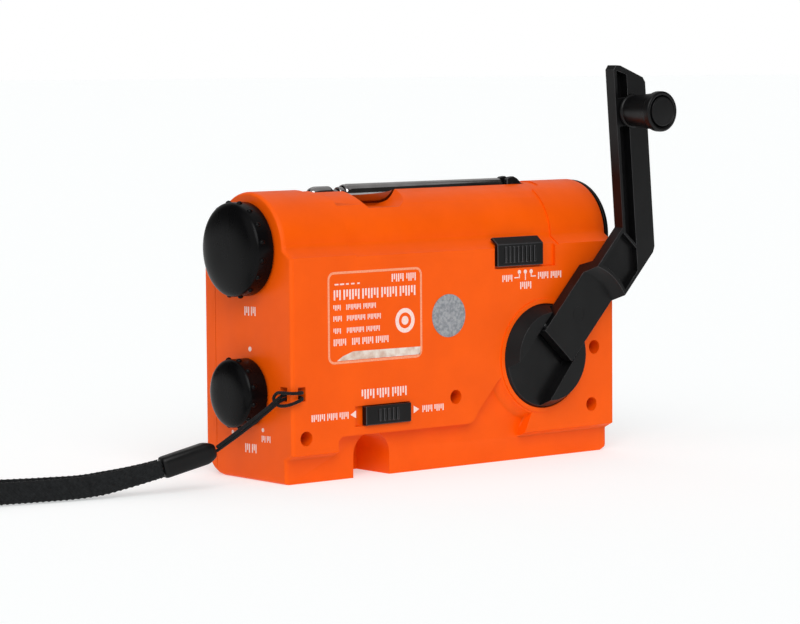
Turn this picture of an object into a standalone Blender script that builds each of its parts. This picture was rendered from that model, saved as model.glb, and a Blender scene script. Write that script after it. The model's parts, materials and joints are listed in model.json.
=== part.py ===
"""Hand-cranked emergency radio with a flashlight, as separate named pieces.

Metres, +Z up. The origin is the middle of the underside. The back, with the crank, faces +Y; the knobs
are on the +X end and the flashlight is on the -X end. The crank stands folded out, the antenna lies
retracted in its groove, and the wrist lanyard lies out to +X. The script can be run from Blender's
text editor or with blender --background --python part.py.
"""

from math import acos, asin, atan2, cos, pi, radians, sin, sqrt, tan

import bmesh
import bpy
from mathutils import Matrix, Vector


def mm(*values):
    """Millimetres to metres: a number, or a tuple of numbers."""
    scaled = tuple(v * 0.001 for v in values)
    return scaled if len(scaled) > 1 else scaled[0]


# ---------------------------------------------------------------- driving dimensions
GAP = mm(0.3)  # running and seating clearance between neighbours
WALL = mm(2.2)

BODY_W = mm(145)
BODY_D = mm(49)
END = BODY_W / 2  # the end faces are at X = +END and -END
BACK = BODY_D / 2  # the back face is at Y = BACK, the front at -BACK
SEAM_Y = mm(-18)  # parting plane of the two case halves

BARREL_R = mm(19.5)
BARREL_Y = mm(0.8)
BARREL_Z = mm(77.5)
BARREL_STEP = mm(0.5)  # the end sections stand proud of the middle by this
BARREL_ENDS = mm(-46.1, 44.9)  # where the end sections begin, along X
BARREL_STEPS = 30  # flats around the barrel
CREASE_Z = mm(78.2)
SHOULDER_Z = mm(75.6)
PLINTH_Z = mm(9.9)
RECESS = mm(4.0)  # depth of the crank's recess and of the plinth
RECESS_TOP = mm(15.0)
RECESS_END = mm(53)

HUB = Vector((mm(-38.8), 0, mm(36.4)))
HUB_R = mm(18.2)
HUB_TOP_R = mm(15.5)
HUB_TOP = mm(5.0)  # heights above the back face
HUB_BOTTOM = mm(-1.0)
CHANNEL_FLOOR = mm(1.2)
RING_R = mm(20.6)
RING_BASE_R = mm(23.2)

HINGE_S = mm(6.1)  # hinge pin's distance from the hub's centre along the arm
HINGE_H = mm(3.8)
HINGE_BORE_R = mm(1.0)
ARM_ANGLE = radians(132.8)  # direction of the arm's root, from +X towards +Z
GRIP_ANGLE = radians(85.6)  # direction of the arm's outer section
ARM_LEFT = mm(-9.8)
ARM_RIGHT = mm(7.3)
GRIP_LEFT, GRIP_RIGHT = mm(6.9, -7.9)  # the outer section's edges, across from the finger knob's centre
ROOT_LOW, ROOT_HIGH = mm(1.5, 6.1)
OUTER_LOW, OUTER_HIGH = mm(6.8, 11.2)
STEP_IN, STEP_OUT = mm(20.7, 23.4)  # the step's radii about the hub as it lies when folded
STEP_FAR_IN, STEP_FAR_OUT = mm(23.6, 25.6)  # and on the arm's other face
GRIP = Vector((mm(-70.3), 0, mm(121.9)))  # centre of the finger knob
GRIP_LEN = mm(16)

KNOB_Y = mm(0.4)
TUNING_Z = mm(77.9)
TUNING_R = mm(16.1)
VOLUME_Z = mm(29.7)
VOLUME_R = mm(11.9)

GEAR_MODULE = mm(1.0)
DRIVE_TEETH, IDLER_PINION_TEETH, IDLER_TEETH, ROTOR_TEETH = 32, 10, 28, 9
IDLER_DIRECTION = radians(60)
ROTOR_DIRECTION = radians(-20)

ANTENNA_Z = mm(95.2)
ANTENNA_HINGE_X = mm(-42.2)
TUBE_R = mm(3.2)

DRUM_R = mm(8.6)  # the dial cord's drum: pointer travel per radian of the tuning knob


# ---------------------------------------------------------------- scene and materials
for old in list(bpy.data.objects):
    bpy.data.objects.remove(old, do_unlink=True)


def make_material(name, colour, roughness, metallic=0.0):
    material = bpy.data.materials.new(name)
    material.use_nodes = True
    shader = material.node_tree.nodes["Principled BSDF"]
    shader.inputs["Base Color"].default_value = (*colour, 1.0)
    shader.inputs["Roughness"].default_value = roughness
    shader.inputs["Metallic"].default_value = metallic
    return material


ORANGE = make_material("orange_abs", (0.90, 0.125, 0.012), 0.42)
BLACK = make_material("black_abs", (0.018, 0.018, 0.019), 0.42)
RUBBER = make_material("black_rubber", (0.02, 0.02, 0.02), 0.7)
CHROME = make_material("chrome", (0.72, 0.72, 0.73), 0.12, 1.0)
STEEL = make_material("steel", (0.55, 0.55, 0.56), 0.35, 1.0)
BRASS = make_material("brass", (0.75, 0.55, 0.25), 0.3, 1.0)
WHITE = make_material("white_acetal", (0.82, 0.81, 0.77), 0.4)
CLEAR = make_material("clear_acrylic", (0.85, 0.88, 0.9), 0.06)
MIRROR = make_material("mirror_cup", (0.85, 0.85, 0.85), 0.08, 1.0)
BOARD = make_material("green_board", (0.03, 0.16, 0.06), 0.5)
PAPER = make_material("paper_cone", (0.06, 0.06, 0.055), 0.85)
FERRITE = make_material("ferrite", (0.05, 0.05, 0.055), 0.55)
CELL = make_material("cell_sleeve", (0.10, 0.22, 0.42), 0.35)
POINTER_RED = make_material("red_acetal", (0.7, 0.04, 0.02), 0.4)
STICKER = make_material("grey_foil", (0.42, 0.42, 0.40), 0.5, 0.3)
WEBBING = make_material("black_webbing", (0.015, 0.015, 0.016), 0.85)


# ---------------------------------------------------------------- building blocks
def at(axis, along, a, b):
    """A point at a place along an axis; a and b are the two other coordinates, in X, Y, Z order."""
    if axis == "X":
        return Vector((along, a, b))
    if axis == "Y":
        return Vector((a, along, b))
    return Vector((a, b, along))


def arc(centre, radius, start, stop, steps):
    """Points on an arc, as (a, b) pairs; angles in degrees."""
    found = []
    for i in range(steps + 1):
        angle = radians(start + (stop - start) * i / steps)
        found.append((centre[0] + radius * cos(angle), centre[1] + radius * sin(angle)))
    return found


def prism(outline, axis, low, high):
    """The outline pushed along an axis from low to high, closed at both ends."""
    bm = bmesh.new()
    first = [bm.verts.new(at(axis, low, a, b)) for a, b in outline]
    last = [bm.verts.new(at(axis, high, a, b)) for a, b in outline]
    bm.faces.new(first)
    bm.faces.new(last)
    for i in range(len(outline)):
        j = (i + 1) % len(outline)
        bm.faces.new((first[i], first[j], last[j], last[i]))
    bmesh.ops.recalc_face_normals(bm, faces=bm.faces)
    return bm


def block(low, high):
    outline = [(low[0], low[1]), (high[0], low[1]), (high[0], high[1]), (low[0], high[1])]
    return prism(outline, "Z", low[2], high[2])


def turned(profile, axis, centre, segments=32, closed=False):
    """A profile of (along, radius) points turned about an axis through centre (its two other coordinates).

    An open profile starts and ends on the axis; a closed one is a ring.
    """
    bm = bmesh.new()
    rows = []
    for along, radius in profile:
        if radius < 1e-7:
            rows.append([bm.verts.new(at(axis, along, *centre))])
            continue
        row = []
        for i in range(segments):
            angle = 2 * pi * i / segments
            place = (centre[0] + radius * cos(angle), centre[1] + radius * sin(angle))
            row.append(bm.verts.new(at(axis, along, *place)))
        rows.append(row)
    pairs = list(zip(rows, rows[1:]))
    if closed:
        pairs.append((rows[-1], rows[0]))
    for one, two in pairs:
        for i in range(segments):
            j = (i + 1) % segments
            corners = [one[i % len(one)], one[j % len(one)], two[j % len(two)], two[i % len(two)]]
            face = [v for k, v in enumerate(corners) if v not in corners[:k]]
            if len(face) > 2:
                bm.faces.new(face)
    bmesh.ops.recalc_face_normals(bm, faces=bm.faces)
    return bm


def rod(axis, centre, radius, low, high, segments=24):
    return turned([(low, 0), (low, radius), (high, radius), (high, 0)], axis, centre, segments)


def tube(axis, centre, inner, outer, low, high, segments=32):
    profile = [(low, inner), (low, outer), (high, outer), (high, inner)]
    return turned(profile, axis, centre, segments, closed=True)


def piece(name, bm, material, origin=(0, 0, 0)):
    """The mesh, drawn in world coordinates, as an object whose own origin is at the point given."""
    bmesh.ops.translate(bm, verts=bm.verts, vec=-Vector(origin))
    mesh = bpy.data.meshes.new(name)
    bm.to_mesh(mesh)
    bm.free()
    mesh.materials.append(material)
    mesh.shade_smooth()
    mesh.set_sharp_from_angle(angle=radians(32))
    ob = bpy.data.objects.new(name, mesh)
    ob.location = origin
    bpy.context.scene.collection.objects.link(ob)
    return ob


def combine(target, tool, operation):
    modifier = target.modifiers.new(operation.lower(), "BOOLEAN")
    modifier.operation = operation
    modifier.object = tool
    return target


def tool_object(name, bm):
    tool = piece(name, bm, BLACK)
    tool.hide_render = True
    tool.display_type = "WIRE"
    return tool


def cut(target, name, bm):
    return combine(target, tool_object("cut_" + name, bm), "DIFFERENCE")


def add(target, name, bm):
    return combine(target, tool_object("add_" + name, bm), "UNION")


def bevel_ends(bm, axis, places, width, segments):
    """Round the edges of the flat ends that lie at the places given along an axis."""
    k = "XYZ".index(axis)
    found = []
    for edge in bm.edges:
        for place in places:
            if all(abs(v.co[k] - place) < 1e-6 for v in edge.verts):
                found.append(edge)
    bmesh.ops.bevel(bm, geom=found, offset=width, segments=segments, affect="EDGES", profile=0.5)
    return bm


def meet(p, d, q, e):
    """Where the line through p along d crosses the line through q along e, in a plane."""
    t = ((q[0] - p[0]) * e[1] - (q[1] - p[1]) * e[0]) / (d[0] * e[1] - d[1] * e[0])
    return (p[0] + t * d[0], p[1] + t * d[1])


# ---------------------------------------------------------------- the crank's own coordinates
ALONG = (cos(ARM_ANGLE), sin(ARM_ANGLE))
ACROSS = (-sin(ARM_ANGLE), cos(ARM_ANGLE))
GRIP_ALONG = (cos(GRIP_ANGLE), sin(GRIP_ANGLE))
GRIP_ACROSS = (sin(GRIP_ANGLE), -cos(GRIP_ANGLE))


def on_hub(s, n):
    """(x, z) of a point s along the arm's root and n across it, from the hub's centre."""
    return (HUB.x + s * ALONG[0] + n * ACROSS[0], HUB.z + s * ALONG[1] + n * ACROSS[1])


def on_grip(t, o):
    """(x, z) of a point t along the arm's outer section and o across it, from the finger knob."""
    return (GRIP.x + t * GRIP_ALONG[0] + o * GRIP_ACROSS[0], GRIP.z + t * GRIP_ALONG[1] + o * GRIP_ACROSS[1])


def across_bar(low, high, s, height, radius, segments=12):
    """A round bar across the arm, parallel to the hinge."""
    bm = rod("Z", (0, 0), radius, low, high, segments)
    turn = Vector((0, 0, 1)).rotation_difference(Vector((ACROSS[0], 0, ACROSS[1]))).to_matrix().to_4x4()
    x, z = on_hub(s, 0)
    bmesh.ops.transform(bm, verts=bm.verts, matrix=Matrix.Translation((x, BACK + height, z)) @ turn)
    return bm


# ---------------------------------------------------------------- case
def body_outline():
    """The end view of the case, (y, z), anticlockwise from the back of the underside."""
    crease = asin((CREASE_Z - BARREL_Z) / BARREL_R)
    round_r = mm(10)
    outline = [
        (BACK - RECESS, 0),
        (BACK - RECESS, PLINTH_Z - mm(2)),
        (BACK, PLINTH_Z),
        (BACK, SHOULDER_Z),
    ]
    outline += arc((BARREL_Y, BARREL_Z), BARREL_R, crease * 180 / pi, 180 - crease * 180 / pi, BARREL_STEPS)
    outline += [(-BACK, SHOULDER_Z)]
    outline += arc((-BACK + round_r, round_r), round_r, 180, 270, 5)
    return outline


def case_block():
    """The whole outer form, with the step between the barrel's middle and its ends."""
    bm = prism(body_outline(), "X", -END, END)
    bevel_ends(bm, "X", (-END, END), mm(1.4), 3)
    return bm


def barrel_step():
    """What is taken off the barrel's middle, front to back; it reaches further out along the antenna."""
    radius = BARREL_R - BARREL_STEP
    reach = BACK + mm(1)
    low = SHOULDER_Z - mm(1.1)
    crease = (BARREL_R + BARREL_Y - mm(0.3), CREASE_Z - mm(0.3))
    start = atan2(crease[1] - BARREL_Z, crease[0] - BARREL_Y) * 180 / pi
    outline = [(reach, low), (reach, BARREL_Z + mm(30)), (-reach, BARREL_Z + mm(30)), (-reach, low)]
    outline += list(reversed(arc((BARREL_Y, BARREL_Z), radius, start, 180 - start, BARREL_STEPS)))
    furthest = mm(53)
    form = tool_object("cut_barrel", prism(outline, "X", -furthest, furthest))
    shoulders = (
        (BARREL_ENDS[0], -1, [mm(0, 9.6), mm(5.2, 7.0)]),
        (BARREL_ENDS[1], 1, [mm(0, 11.4), mm(1.4, 7.6), mm(4.2, 4.6), mm(6.7, 1.2)]),
    )
    for x, way, flare in shoulders:
        # in plan: x and the distance from the antenna, on both sides of it
        flare = [(x + way * out, y) for out, y in flare]
        plan = [(x, 2 * reach)] + [(a, BARREL_Y + b) for a, b in flare]
        plan += [(a, BARREL_Y - b) for a, b in reversed(flare)] + [(x, -2 * reach)]
        plan += [(way * 2 * furthest, -2 * reach), (way * 2 * furthest, 2 * reach)]
        cut(form, "keep_shoulder", prism(plan, "Z", low - mm(1), BARREL_Z + mm(40)))
    return form


def recess_form():
    """The crank's recess in the back, seen from behind, with the ring around the hub left standing."""
    outline = [
        (RECESS_END, mm(-3)),
        (RECESS_END, RECESS_TOP - mm(1.5)),
        (RECESS_END - mm(1.5), RECESS_TOP),
        (mm(-4.5), RECESS_TOP),
        (mm(-6.5), RECESS_TOP + mm(1.0)),
        (mm(-9.0), RECESS_TOP + mm(4.6)),
        (mm(-17.0), RECESS_TOP + mm(13.4)),
        (mm(-28), mm(38)),
        (mm(-33.5), mm(17.5)),
        (mm(-29.5), mm(9.0)),
        (mm(-29.5), mm(-3)),
    ]
    form = tool_object("cut_recess", prism(outline, "Y", BACK - RECESS, BACK + mm(2)))
    low, high = BACK - RECESS - mm(1), BACK + mm(3)
    slope = (RING_BASE_R - RING_R) / RECESS
    ring = [(low, 0), (low, RING_BASE_R + slope * mm(1)), (high, RING_R - slope * mm(3)), (high, 0)]
    return cut(form, "recess_ring", turned(ring, "Y", (HUB.x, HUB.z), 64))


SCREWS = {
    "case_screw_1": mm(66.6, 15.5),
    "case_screw_2": mm(1.7, 24.7),
    "case_screw_3": mm(-62.8, 37.9),
    "case_screw_4": mm(-61.5, 17.5),
}
POCKET = mm(36.0, 7.3)  # (x, z) of the pocket that takes the finger knob
POCKET_R = mm(7.8)
POCKET_DEPTH = mm(22)
ANTENNA_BED = (mm(-50, -5, 88.5), mm(55, 6.6, 97))
NOTCH_BED = ((mm(8), mm(-4), mm(87.6)), (mm(39), mm(18), mm(96)))
LANYARD_POST = ((mm(64), mm(14), mm(25.5)), (END, BACK, mm(35.3)))
BATTERY_BAY = (mm(-56.5, -16.6, 3), mm(-7.0, 15.8, 15))
DOOR_SEAT = (mm(-57.5, -17.4, -1), mm(-6.0, 17.0, 2))
DOOR_TRAVEL = mm(6)
CELL_Z = mm(8.5)


def cavity_form():
    """The hollow inside the case. What has to stay solid is taken out of it."""
    inner_r = BARREL_R - BARREL_STEP - WALL
    back = BACK - WALL
    low_back = BACK - RECESS - WALL
    crease = asin((CREASE_Z - BARREL_Z - mm(1)) / inner_r) * 180 / pi
    outline = [(low_back, WALL), (low_back, mm(31)), (back, mm(35)), (back, SHOULDER_Z - mm(1.6))]
    outline += arc((BARREL_Y, BARREL_Z), inner_r, crease, 180 - crease, 18)
    outline += [(-back, SHOULDER_Z - mm(1.6))]
    outline += arc((-BACK + mm(10), mm(10)), mm(10) - WALL, 180, 270, 4)
    form = tool_object("cut_cavity", prism(outline, "X", -END + WALL, END - WALL))

    cut(form, "keep_hub", rod("Y", (HUB.x, HUB.z), RING_R, mm(20.7), BACK, 40))
    cut(form, "keep_antenna", block(*ANTENNA_BED))
    cut(form, "keep_notch", block(*NOTCH_BED))
    cut(form, "keep_lanyard", block(*LANYARD_POST))
    x, z = POCKET
    wall = mm(9.4)
    low = (x - wall, BACK - POCKET_DEPTH - mm(1.4), 0)
    cut(form, "keep_pocket", block(low, (x + wall + mm(1), BACK, z + wall)))
    bay_low, bay_high = BATTERY_BAY
    shell = mm(1.4)
    low = (bay_low[0] - shell, bay_low[1] - shell, 0)
    cut(form, "keep_battery", block(low, (bay_high[0] + shell, bay_high[1] + shell, bay_high[2] + shell)))
    return form


def worn_toe():
    """What the rounded lower corner at the flashlight end leaves out."""
    outside = -END - mm(1)
    inside = -END + mm(3.4)
    outline = [(outside, mm(-1)), (inside, mm(-1)), (inside, 0), (-END + mm(1), mm(1.2)), (-END, mm(3.6)),
               (outside, mm(3.6))]
    return prism(outline, "Y", mm(-30), mm(30))


def rear_case(cavity):
    low, high = (-END - mm(9), SEAM_Y, mm(-9)), (END + mm(9), mm(60), mm(130))
    case = piece("rear_case", case_block(), ORANGE)
    combine(case, barrel_step(), "DIFFERENCE")
    combine(case, tool_object("cut_to_rear", block(low, high)), "INTERSECT")
    combine(case, cavity, "DIFFERENCE")
    combine(case, recess_form(), "DIFFERENCE")

    # the hub's well and the hole for its shaft
    hub_centre = (HUB.x, HUB.z)
    well_r = HUB_R + GAP
    cut(case, "hub_well", rod("Y", hub_centre, well_r, BACK + HUB_BOTTOM - GAP, BACK + mm(2), 64))
    cut(case, "hub_bore", rod("Y", hub_centre, mm(3.0), mm(18), BACK, 20))
    add(case, "hub_lip", tube("Y", hub_centre, well_r, RING_R - mm(0.6), BACK - mm(1), BACK + mm(0.4), 64))

    # the finger knob's pocket: an arch, open downwards
    x, z = POCKET
    arch = [(x + POCKET_R, mm(-3))] + arc((x, z), POCKET_R, 0, 180, 14) + [(x - POCKET_R, mm(-3))]
    cut(case, "knob_pocket", prism(arch, "Y", BACK - POCKET_DEPTH, BACK + mm(1)))

    # antenna groove, and a scoop beside it for a finger
    groove = arc((BARREL_Y, ANTENNA_Z), TUBE_R + mm(0.6), 180, 360, 12)
    groove += [(BARREL_Y + TUBE_R + mm(0.6), mm(105)), (BARREL_Y - TUBE_R - mm(0.6), mm(105))]
    cut(case, "antenna_groove", prism(groove, "X", ANTENNA_HINGE_X - mm(5), mm(49)))
    ramp = [mm(47, 91.6), mm(48.6, 92.2), mm(52.8, 97.6), mm(52.8, 99), mm(47, 99)]
    half = TUBE_R + mm(0.6)
    cut(case, "groove_ramp", prism(ramp, "Y", BARREL_Y - half, BARREL_Y + half))
    cut(case, "yoke_seat", block(mm(-47.6, -2.7, 91.5), mm(-38.9, 4.3, 99)))
    scoop = [mm(36, 98), mm(31.5, 90.6), mm(18, 90.6), mm(14.5, 92.5), mm(11, 98)]
    cut(case, "finger_scoop", prism(scoop, "Y", BARREL_Y, mm(24)))

    # screw bosses, counterbored from the back
    for name, (x, z) in SCREWS.items():
        add(case, name + "_boss", rod("Y", (x, z), mm(4.0), mm(-5.7), BACK - mm(1), 20))
        cut(case, name + "_head", rod("Y", (x, z), mm(2.5), mm(8), BACK + mm(1), 20))
        cut(case, name + "_shank", rod("Y", (x, z), mm(1.7), mm(-8), mm(9), 16))

    # posts for the gearbox plate, from inside the back wall
    for i, place in enumerate(PLATE_POSTS):
        wall = mm(20.0) if place[1] < mm(31) else mm(23.2)
        add(case, f"plate_post_{i}", rod("Y", place, mm(2.3), mm(10.9), wall, 14))

    # windows in the ends and slots for the switches
    cut(case, "torch_bore", rod("X", (BARREL_Y, BARREL_Z), mm(17.3), -END - mm(1), -END + mm(6.2), 40))
    cut(case, "tuning_bore", rod("X", (KNOB_Y, TUNING_Z), mm(3.4), END - mm(4), END + mm(1), 20))
    cut(case, "volume_bore", rod("X", (KNOB_Y, VOLUME_Z), mm(3.4), END - mm(4), END + mm(1), 20))
    cut(case, "torch_slot", block(mm(-36.5, 14, 69.4), mm(-26.0, 26, 73.2)))
    cut(case, "torch_track", block(mm(-44.4, 23.3, 67.9), mm(-16.2, 26, 79)))
    cut(case, "power_slot", block(mm(27.0, 14, 19.8), mm(38.0, 26, 22.8)))
    cut(case, "power_track", block(mm(22.2, 23.3, 17.8), mm(45.9, 26, 24.8)))
    cut(case, "port_window", block((-END - mm(1), mm(-13.4), mm(23.8)), (-END + mm(4), mm(-4.6), mm(31.2))))
    cut(case, "port_seat", block((-END - mm(1), mm(-15.4), mm(21.8)), (-END + mm(1.3), mm(-2.6), mm(33.2))))

    # lanyard eye: a back slot and a side slot that meet behind the corner
    cut(case, "eye_back", block(mm(66.8, 18.0, 28.0), mm(69.9, 26, 32.8)))
    cut(case, "eye_side", block(mm(66.8, 18.0, 28.0), mm(74, 21.9, 32.8)))

    # battery bay with its door's ledge, and the worn-back lower corner at the flashlight end
    cut(case, "battery_bay", block(*BATTERY_BAY))
    (bay_x, bay_y, bay_z), (bay_end, bay_side, _) = BATTERY_BAY
    mouth_end = bay_end - DOOR_TRAVEL
    cut(case, "battery_mouth", block((bay_x, bay_y, mm(-1)), (mouth_end, bay_side, bay_z + mm(1))))
    cut(case, "door_seat", block(*DOOR_SEAT))
    cut(case, "toe", worn_toe())
    return case


def front_case(cavity):
    low, high = (-END - mm(9), mm(-60), mm(-9)), (END + mm(9), SEAM_Y - GAP, mm(130))
    case = piece("front_case", case_block(), ORANGE)
    combine(case, barrel_step(), "DIFFERENCE")
    combine(case, tool_object("cut_to_front", block(low, high)), "INTERSECT")
    combine(case, cavity, "DIFFERENCE")
    for name, (x, z) in SCREWS.items():
        add(case, name + "_post", rod("Y", (x, z), mm(3.2), -BACK + mm(1), mm(-6), 16))
        cut(case, name + "_pilot", rod("Y", (x, z), mm(1.4), mm(-18), mm(-5), 12))
    cut(case, "dial_window", block((mm(-62), -BACK - mm(1), mm(51)), (mm(-8), mm(-20), mm(69))))
    cut(case, "window_seat", block((mm(-64), -BACK - mm(1), mm(49)), (mm(-6), -BACK + mm(1.0), mm(71))))
    cut(case, "band_slot", block((mm(-45), -BACK - mm(1), mm(31.5)), (mm(-25), mm(-20), mm(34.5))))
    x, z = SPEAKER
    for row in range(-3, 4):
        half = sqrt(mm(21) ** 2 - (row * mm(5.6)) ** 2)
        low = (x - half, -BACK - mm(1), z + row * mm(5.6) - mm(1.1))
        cut(case, f"grille_{row + 3}", block(low, (x + half, mm(-20), z + row * mm(5.6) + mm(1.1))))
    cut(case, "front_toe", worn_toe())
    return case


def battery_door():
    """It slides towards +X into the open end of its seat."""
    low, high = DOOR_SEAT
    end = high[0] - GAP - DOOR_TRAVEL
    plate = block((low[0] + GAP, low[1] + GAP, mm(0.2)), (end, high[1] - GAP, mm(1.7)))
    return piece("battery_door", plate, ORANGE, (end, 0, mm(0.2)))


def case_screws():
    for name, (x, z) in SCREWS.items():
        profile = [mm(9.4, 0), mm(9.4, 2.1), mm(8.3, 2.1), mm(8.3, 1.1), mm(-15, 1.1), mm(-16, 0)]
        piece(name, turned(profile, "Y", (x, z), 12), STEEL)


# ---------------------------------------------------------------- crank
def crank_hub():
    axis_point = (HUB.x, BACK, HUB.z)
    profile = [
        (BACK + HUB_BOTTOM, 0),
        (BACK + HUB_BOTTOM, HUB_R),
        (BACK + mm(0.3), HUB_R),
        (BACK + HUB_TOP, HUB_TOP_R),
        (BACK + HUB_TOP, 0),
    ]
    hub = piece("crank_hub", turned(profile, "Y", (HUB.x, HUB.z), 64), BLACK, axis_point)
    channel = [on_hub(*mm(24, 7.3)), on_hub(*mm(-24, 10.2)), on_hub(*mm(-24, -10.7)), on_hub(*mm(24, -10.7))]
    cut(hub, "channel", prism(channel, "Y", BACK + CHANNEL_FLOOR, BACK + mm(9)))
    sweep = [on_hub(*mm(2.2, 7.4)), on_hub(*mm(2.2, -10.2)), on_hub(*mm(9.9, -10.2)), on_hub(*mm(9.9, 7.4))]
    cut(hub, "root_sweep", prism(sweep, "Y", BACK + mm(0.2), BACK + mm(2)))
    cut(hub, "pin_bore", across_bar(mm(-13.4), mm(12.6), HINGE_S, HINGE_H, HINGE_BORE_R))
    return hub


def crank_hinge_pin():
    bar = across_bar(mm(-13.1), mm(12.3), HINGE_S, HINGE_H, HINGE_BORE_R - mm(0.25))
    return piece("crank_hinge_pin", bar, STEEL)


def arm_outline():
    """The arm from behind: root, bend and outer section, as (x, z) points."""
    left_bend = meet(on_hub(0, ARM_LEFT), ALONG, on_grip(0, GRIP_LEFT), GRIP_ALONG)
    right_bend = meet(on_hub(0, ARM_RIGHT), ALONG, on_grip(0, GRIP_RIGHT), GRIP_ALONG)
    nick = mm(1.2)
    start = HINGE_S - mm(2.3)
    return [
        on_hub(start, ARM_LEFT),
        left_bend,
        on_grip(mm(15.2), GRIP_LEFT),
        on_grip(mm(16.7), mm(5.6)),
        on_grip(mm(16.4), mm(3.6)),
        on_grip(mm(11.4), mm(-6.8)),
        on_grip(mm(9.6), GRIP_RIGHT),
        (right_bend[0] + nick * GRIP_ALONG[0], right_bend[1] + nick * GRIP_ALONG[1]),
        (right_bend[0] - nick * ALONG[0], right_bend[1] - nick * ALONG[1]),
        on_hub(start, ARM_RIGHT),
    ]


def crank_arm():
    x, z = on_hub(HINGE_S, 0)
    arm = piece("crank_arm", prism(arm_outline(), "Y", BACK + ROOT_LOW, BACK + OUTER_HIGH), BLACK,
                (x, BACK + HINGE_H, z))
    folded = on_hub(2 * HINGE_S, 0)  # where the hub's centre lies, seen from the arm, when it is folded
    slope = (STEP_OUT - STEP_IN) / (OUTER_HIGH - ROOT_HIGH)
    top = BACK + OUTER_HIGH + mm(1)
    inner = [(BACK + ROOT_HIGH, 0), (BACK + ROOT_HIGH, STEP_IN), (top, STEP_OUT + slope * mm(1)), (top, 0)]
    cut(arm, "arm_inner_step", turned(inner, "Y", folded, 64))
    low = BACK + ROOT_LOW - mm(1)
    far = mm(130)
    under = BACK + OUTER_LOW
    outer = [(low, STEP_FAR_IN - mm(0.4)), (under, STEP_FAR_OUT), (under, far), (low, far)]
    cut(arm, "arm_outer_step", turned(outer, "Y", folded, 64, closed=True))
    cut(arm, "arm_pin_bore", across_bar(mm(-15), mm(15), HINGE_S, HINGE_H, HINGE_BORE_R))

    # the long groove on the outer section, broken by the finger knob's boss, and the pocket at the bend
    rim = mm(1.2)
    strip = mm(0.9)  # the groove's inner wall, across from the finger knob's centre
    side = GRIP_LEFT - rim
    groove_floor = BACK + OUTER_LOW + mm(0.9)
    upper = [(mm(5.0), side), (mm(14.9), side), (mm(13.0), strip), (mm(5.0), strip)]
    lower = [(mm(-5.0), side), (mm(-42.6), side), (mm(-47.4), strip), (mm(-5.0), strip)]
    for name, groove in (("groove_upper", upper), ("groove_lower", lower)):
        cut(arm, name, prism([on_grip(*corner) for corner in groove], "Y", groove_floor, top))
    left_rim = on_hub(0, ARM_LEFT + rim)
    right_rim = on_hub(0, ARM_RIGHT - rim)
    rib = on_grip(mm(-48.8), strip)
    rib_start = on_grip(mm(-43.8), side)
    rib_along = (rib_start[0] - rib[0], rib_start[1] - rib[1])
    pocket = [
        meet(left_rim, ALONG, rib, rib_along),
        meet(left_rim, ALONG, on_hub(mm(20), 0), ACROSS),
        meet(right_rim, ALONG, on_hub(mm(20), 0), ACROSS),
        meet(right_rim, ALONG, rib, GRIP_ALONG),
        rib,
    ]
    pocket_floor = BACK + OUTER_HIGH - mm(2.2)
    hollow = tool_object("cut_bend_pocket", prism(pocket, "Y", pocket_floor, top))
    cut(hollow, "keep_step_rim", rod("Y", folded, STEP_OUT + mm(1.2), pocket_floor - mm(1), top + mm(1), 64))
    combine(arm, hollow, "DIFFERENCE")
    cut(arm, "grip_bore", rod("Y", (GRIP.x, GRIP.z), mm(1.9), BACK, top, 16))
    return arm


def finger_knob():
    base = BACK + OUTER_HIGH + GAP
    end = base + GRIP_LEN
    bore, seat = mm(1.9), mm(5.6)
    profile = [
        (base, bore),
        (base, mm(5.4)),
        (base + mm(1.8), mm(5.5)),
        (end - mm(2.4), mm(7.1)),
        (end - mm(0.8), mm(7.0)),
        (end, mm(6.3)),
        (end, seat),
        (end - mm(1.4), seat),
        (end - mm(1.4), bore),
    ]
    return piece("finger_knob", turned(profile, "Y", (GRIP.x, GRIP.z), 28, closed=True), BLACK,
                 (GRIP.x, base, GRIP.z))


def finger_knob_pin():
    """A headed pin through the knob, its head sunk in the knob's end, riveted over inside the arm."""
    end = BACK + OUTER_HIGH + GAP + GRIP_LEN
    profile = [
        (BACK + OUTER_LOW - mm(0.4), 0),
        (BACK + OUTER_LOW - mm(0.4), mm(1.6)),
        (end - mm(1.1), mm(1.6)),
        (end - mm(1.1), mm(5.25)),
        (end + mm(0.1), mm(5.25)),
        (end + mm(0.4), mm(4.8)),
        (end + mm(0.4), 0),
    ]
    return piece("finger_knob_pin", turned(profile, "Y", (GRIP.x, GRIP.z), 20), BLACK)


# ---------------------------------------------------------------- gear train and dynamo
def gear_outline(teeth, centre, first_angle):
    """An involute gear seen along its axis, as (x, z) points, with one tooth at first_angle."""
    pressure = radians(25)
    pitch_r = GEAR_MODULE * teeth / 2
    base_r = pitch_r * cos(pressure)
    tip_r = pitch_r + 0.72 * GEAR_MODULE
    root_r = pitch_r - 0.98 * GEAR_MODULE
    backlash = mm(0.22)

    def half_angle(r):
        """Half of a tooth's angular width at a radius."""
        at_pitch = pi / (2 * teeth) - backlash / (2 * pitch_r) + tan(pressure) - pressure
        if r <= base_r:
            return at_pitch
        lean = acos(base_r / r)
        return at_pitch - (tan(lean) - lean)

    foot_r = max(root_r, base_r)
    radii = [root_r, foot_r + 0.35 * (tip_r - foot_r), tip_r]
    outline = []
    for i in range(teeth):
        middle = first_angle + 2 * pi * i / teeth
        sides = [(r, middle - half_angle(r)) for r in radii]
        sides += [(r, middle + half_angle(r)) for r in reversed(radii)]
        outline += [(centre[0] + r * cos(a), centre[1] + r * sin(a)) for r, a in sides]
    return outline


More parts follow.
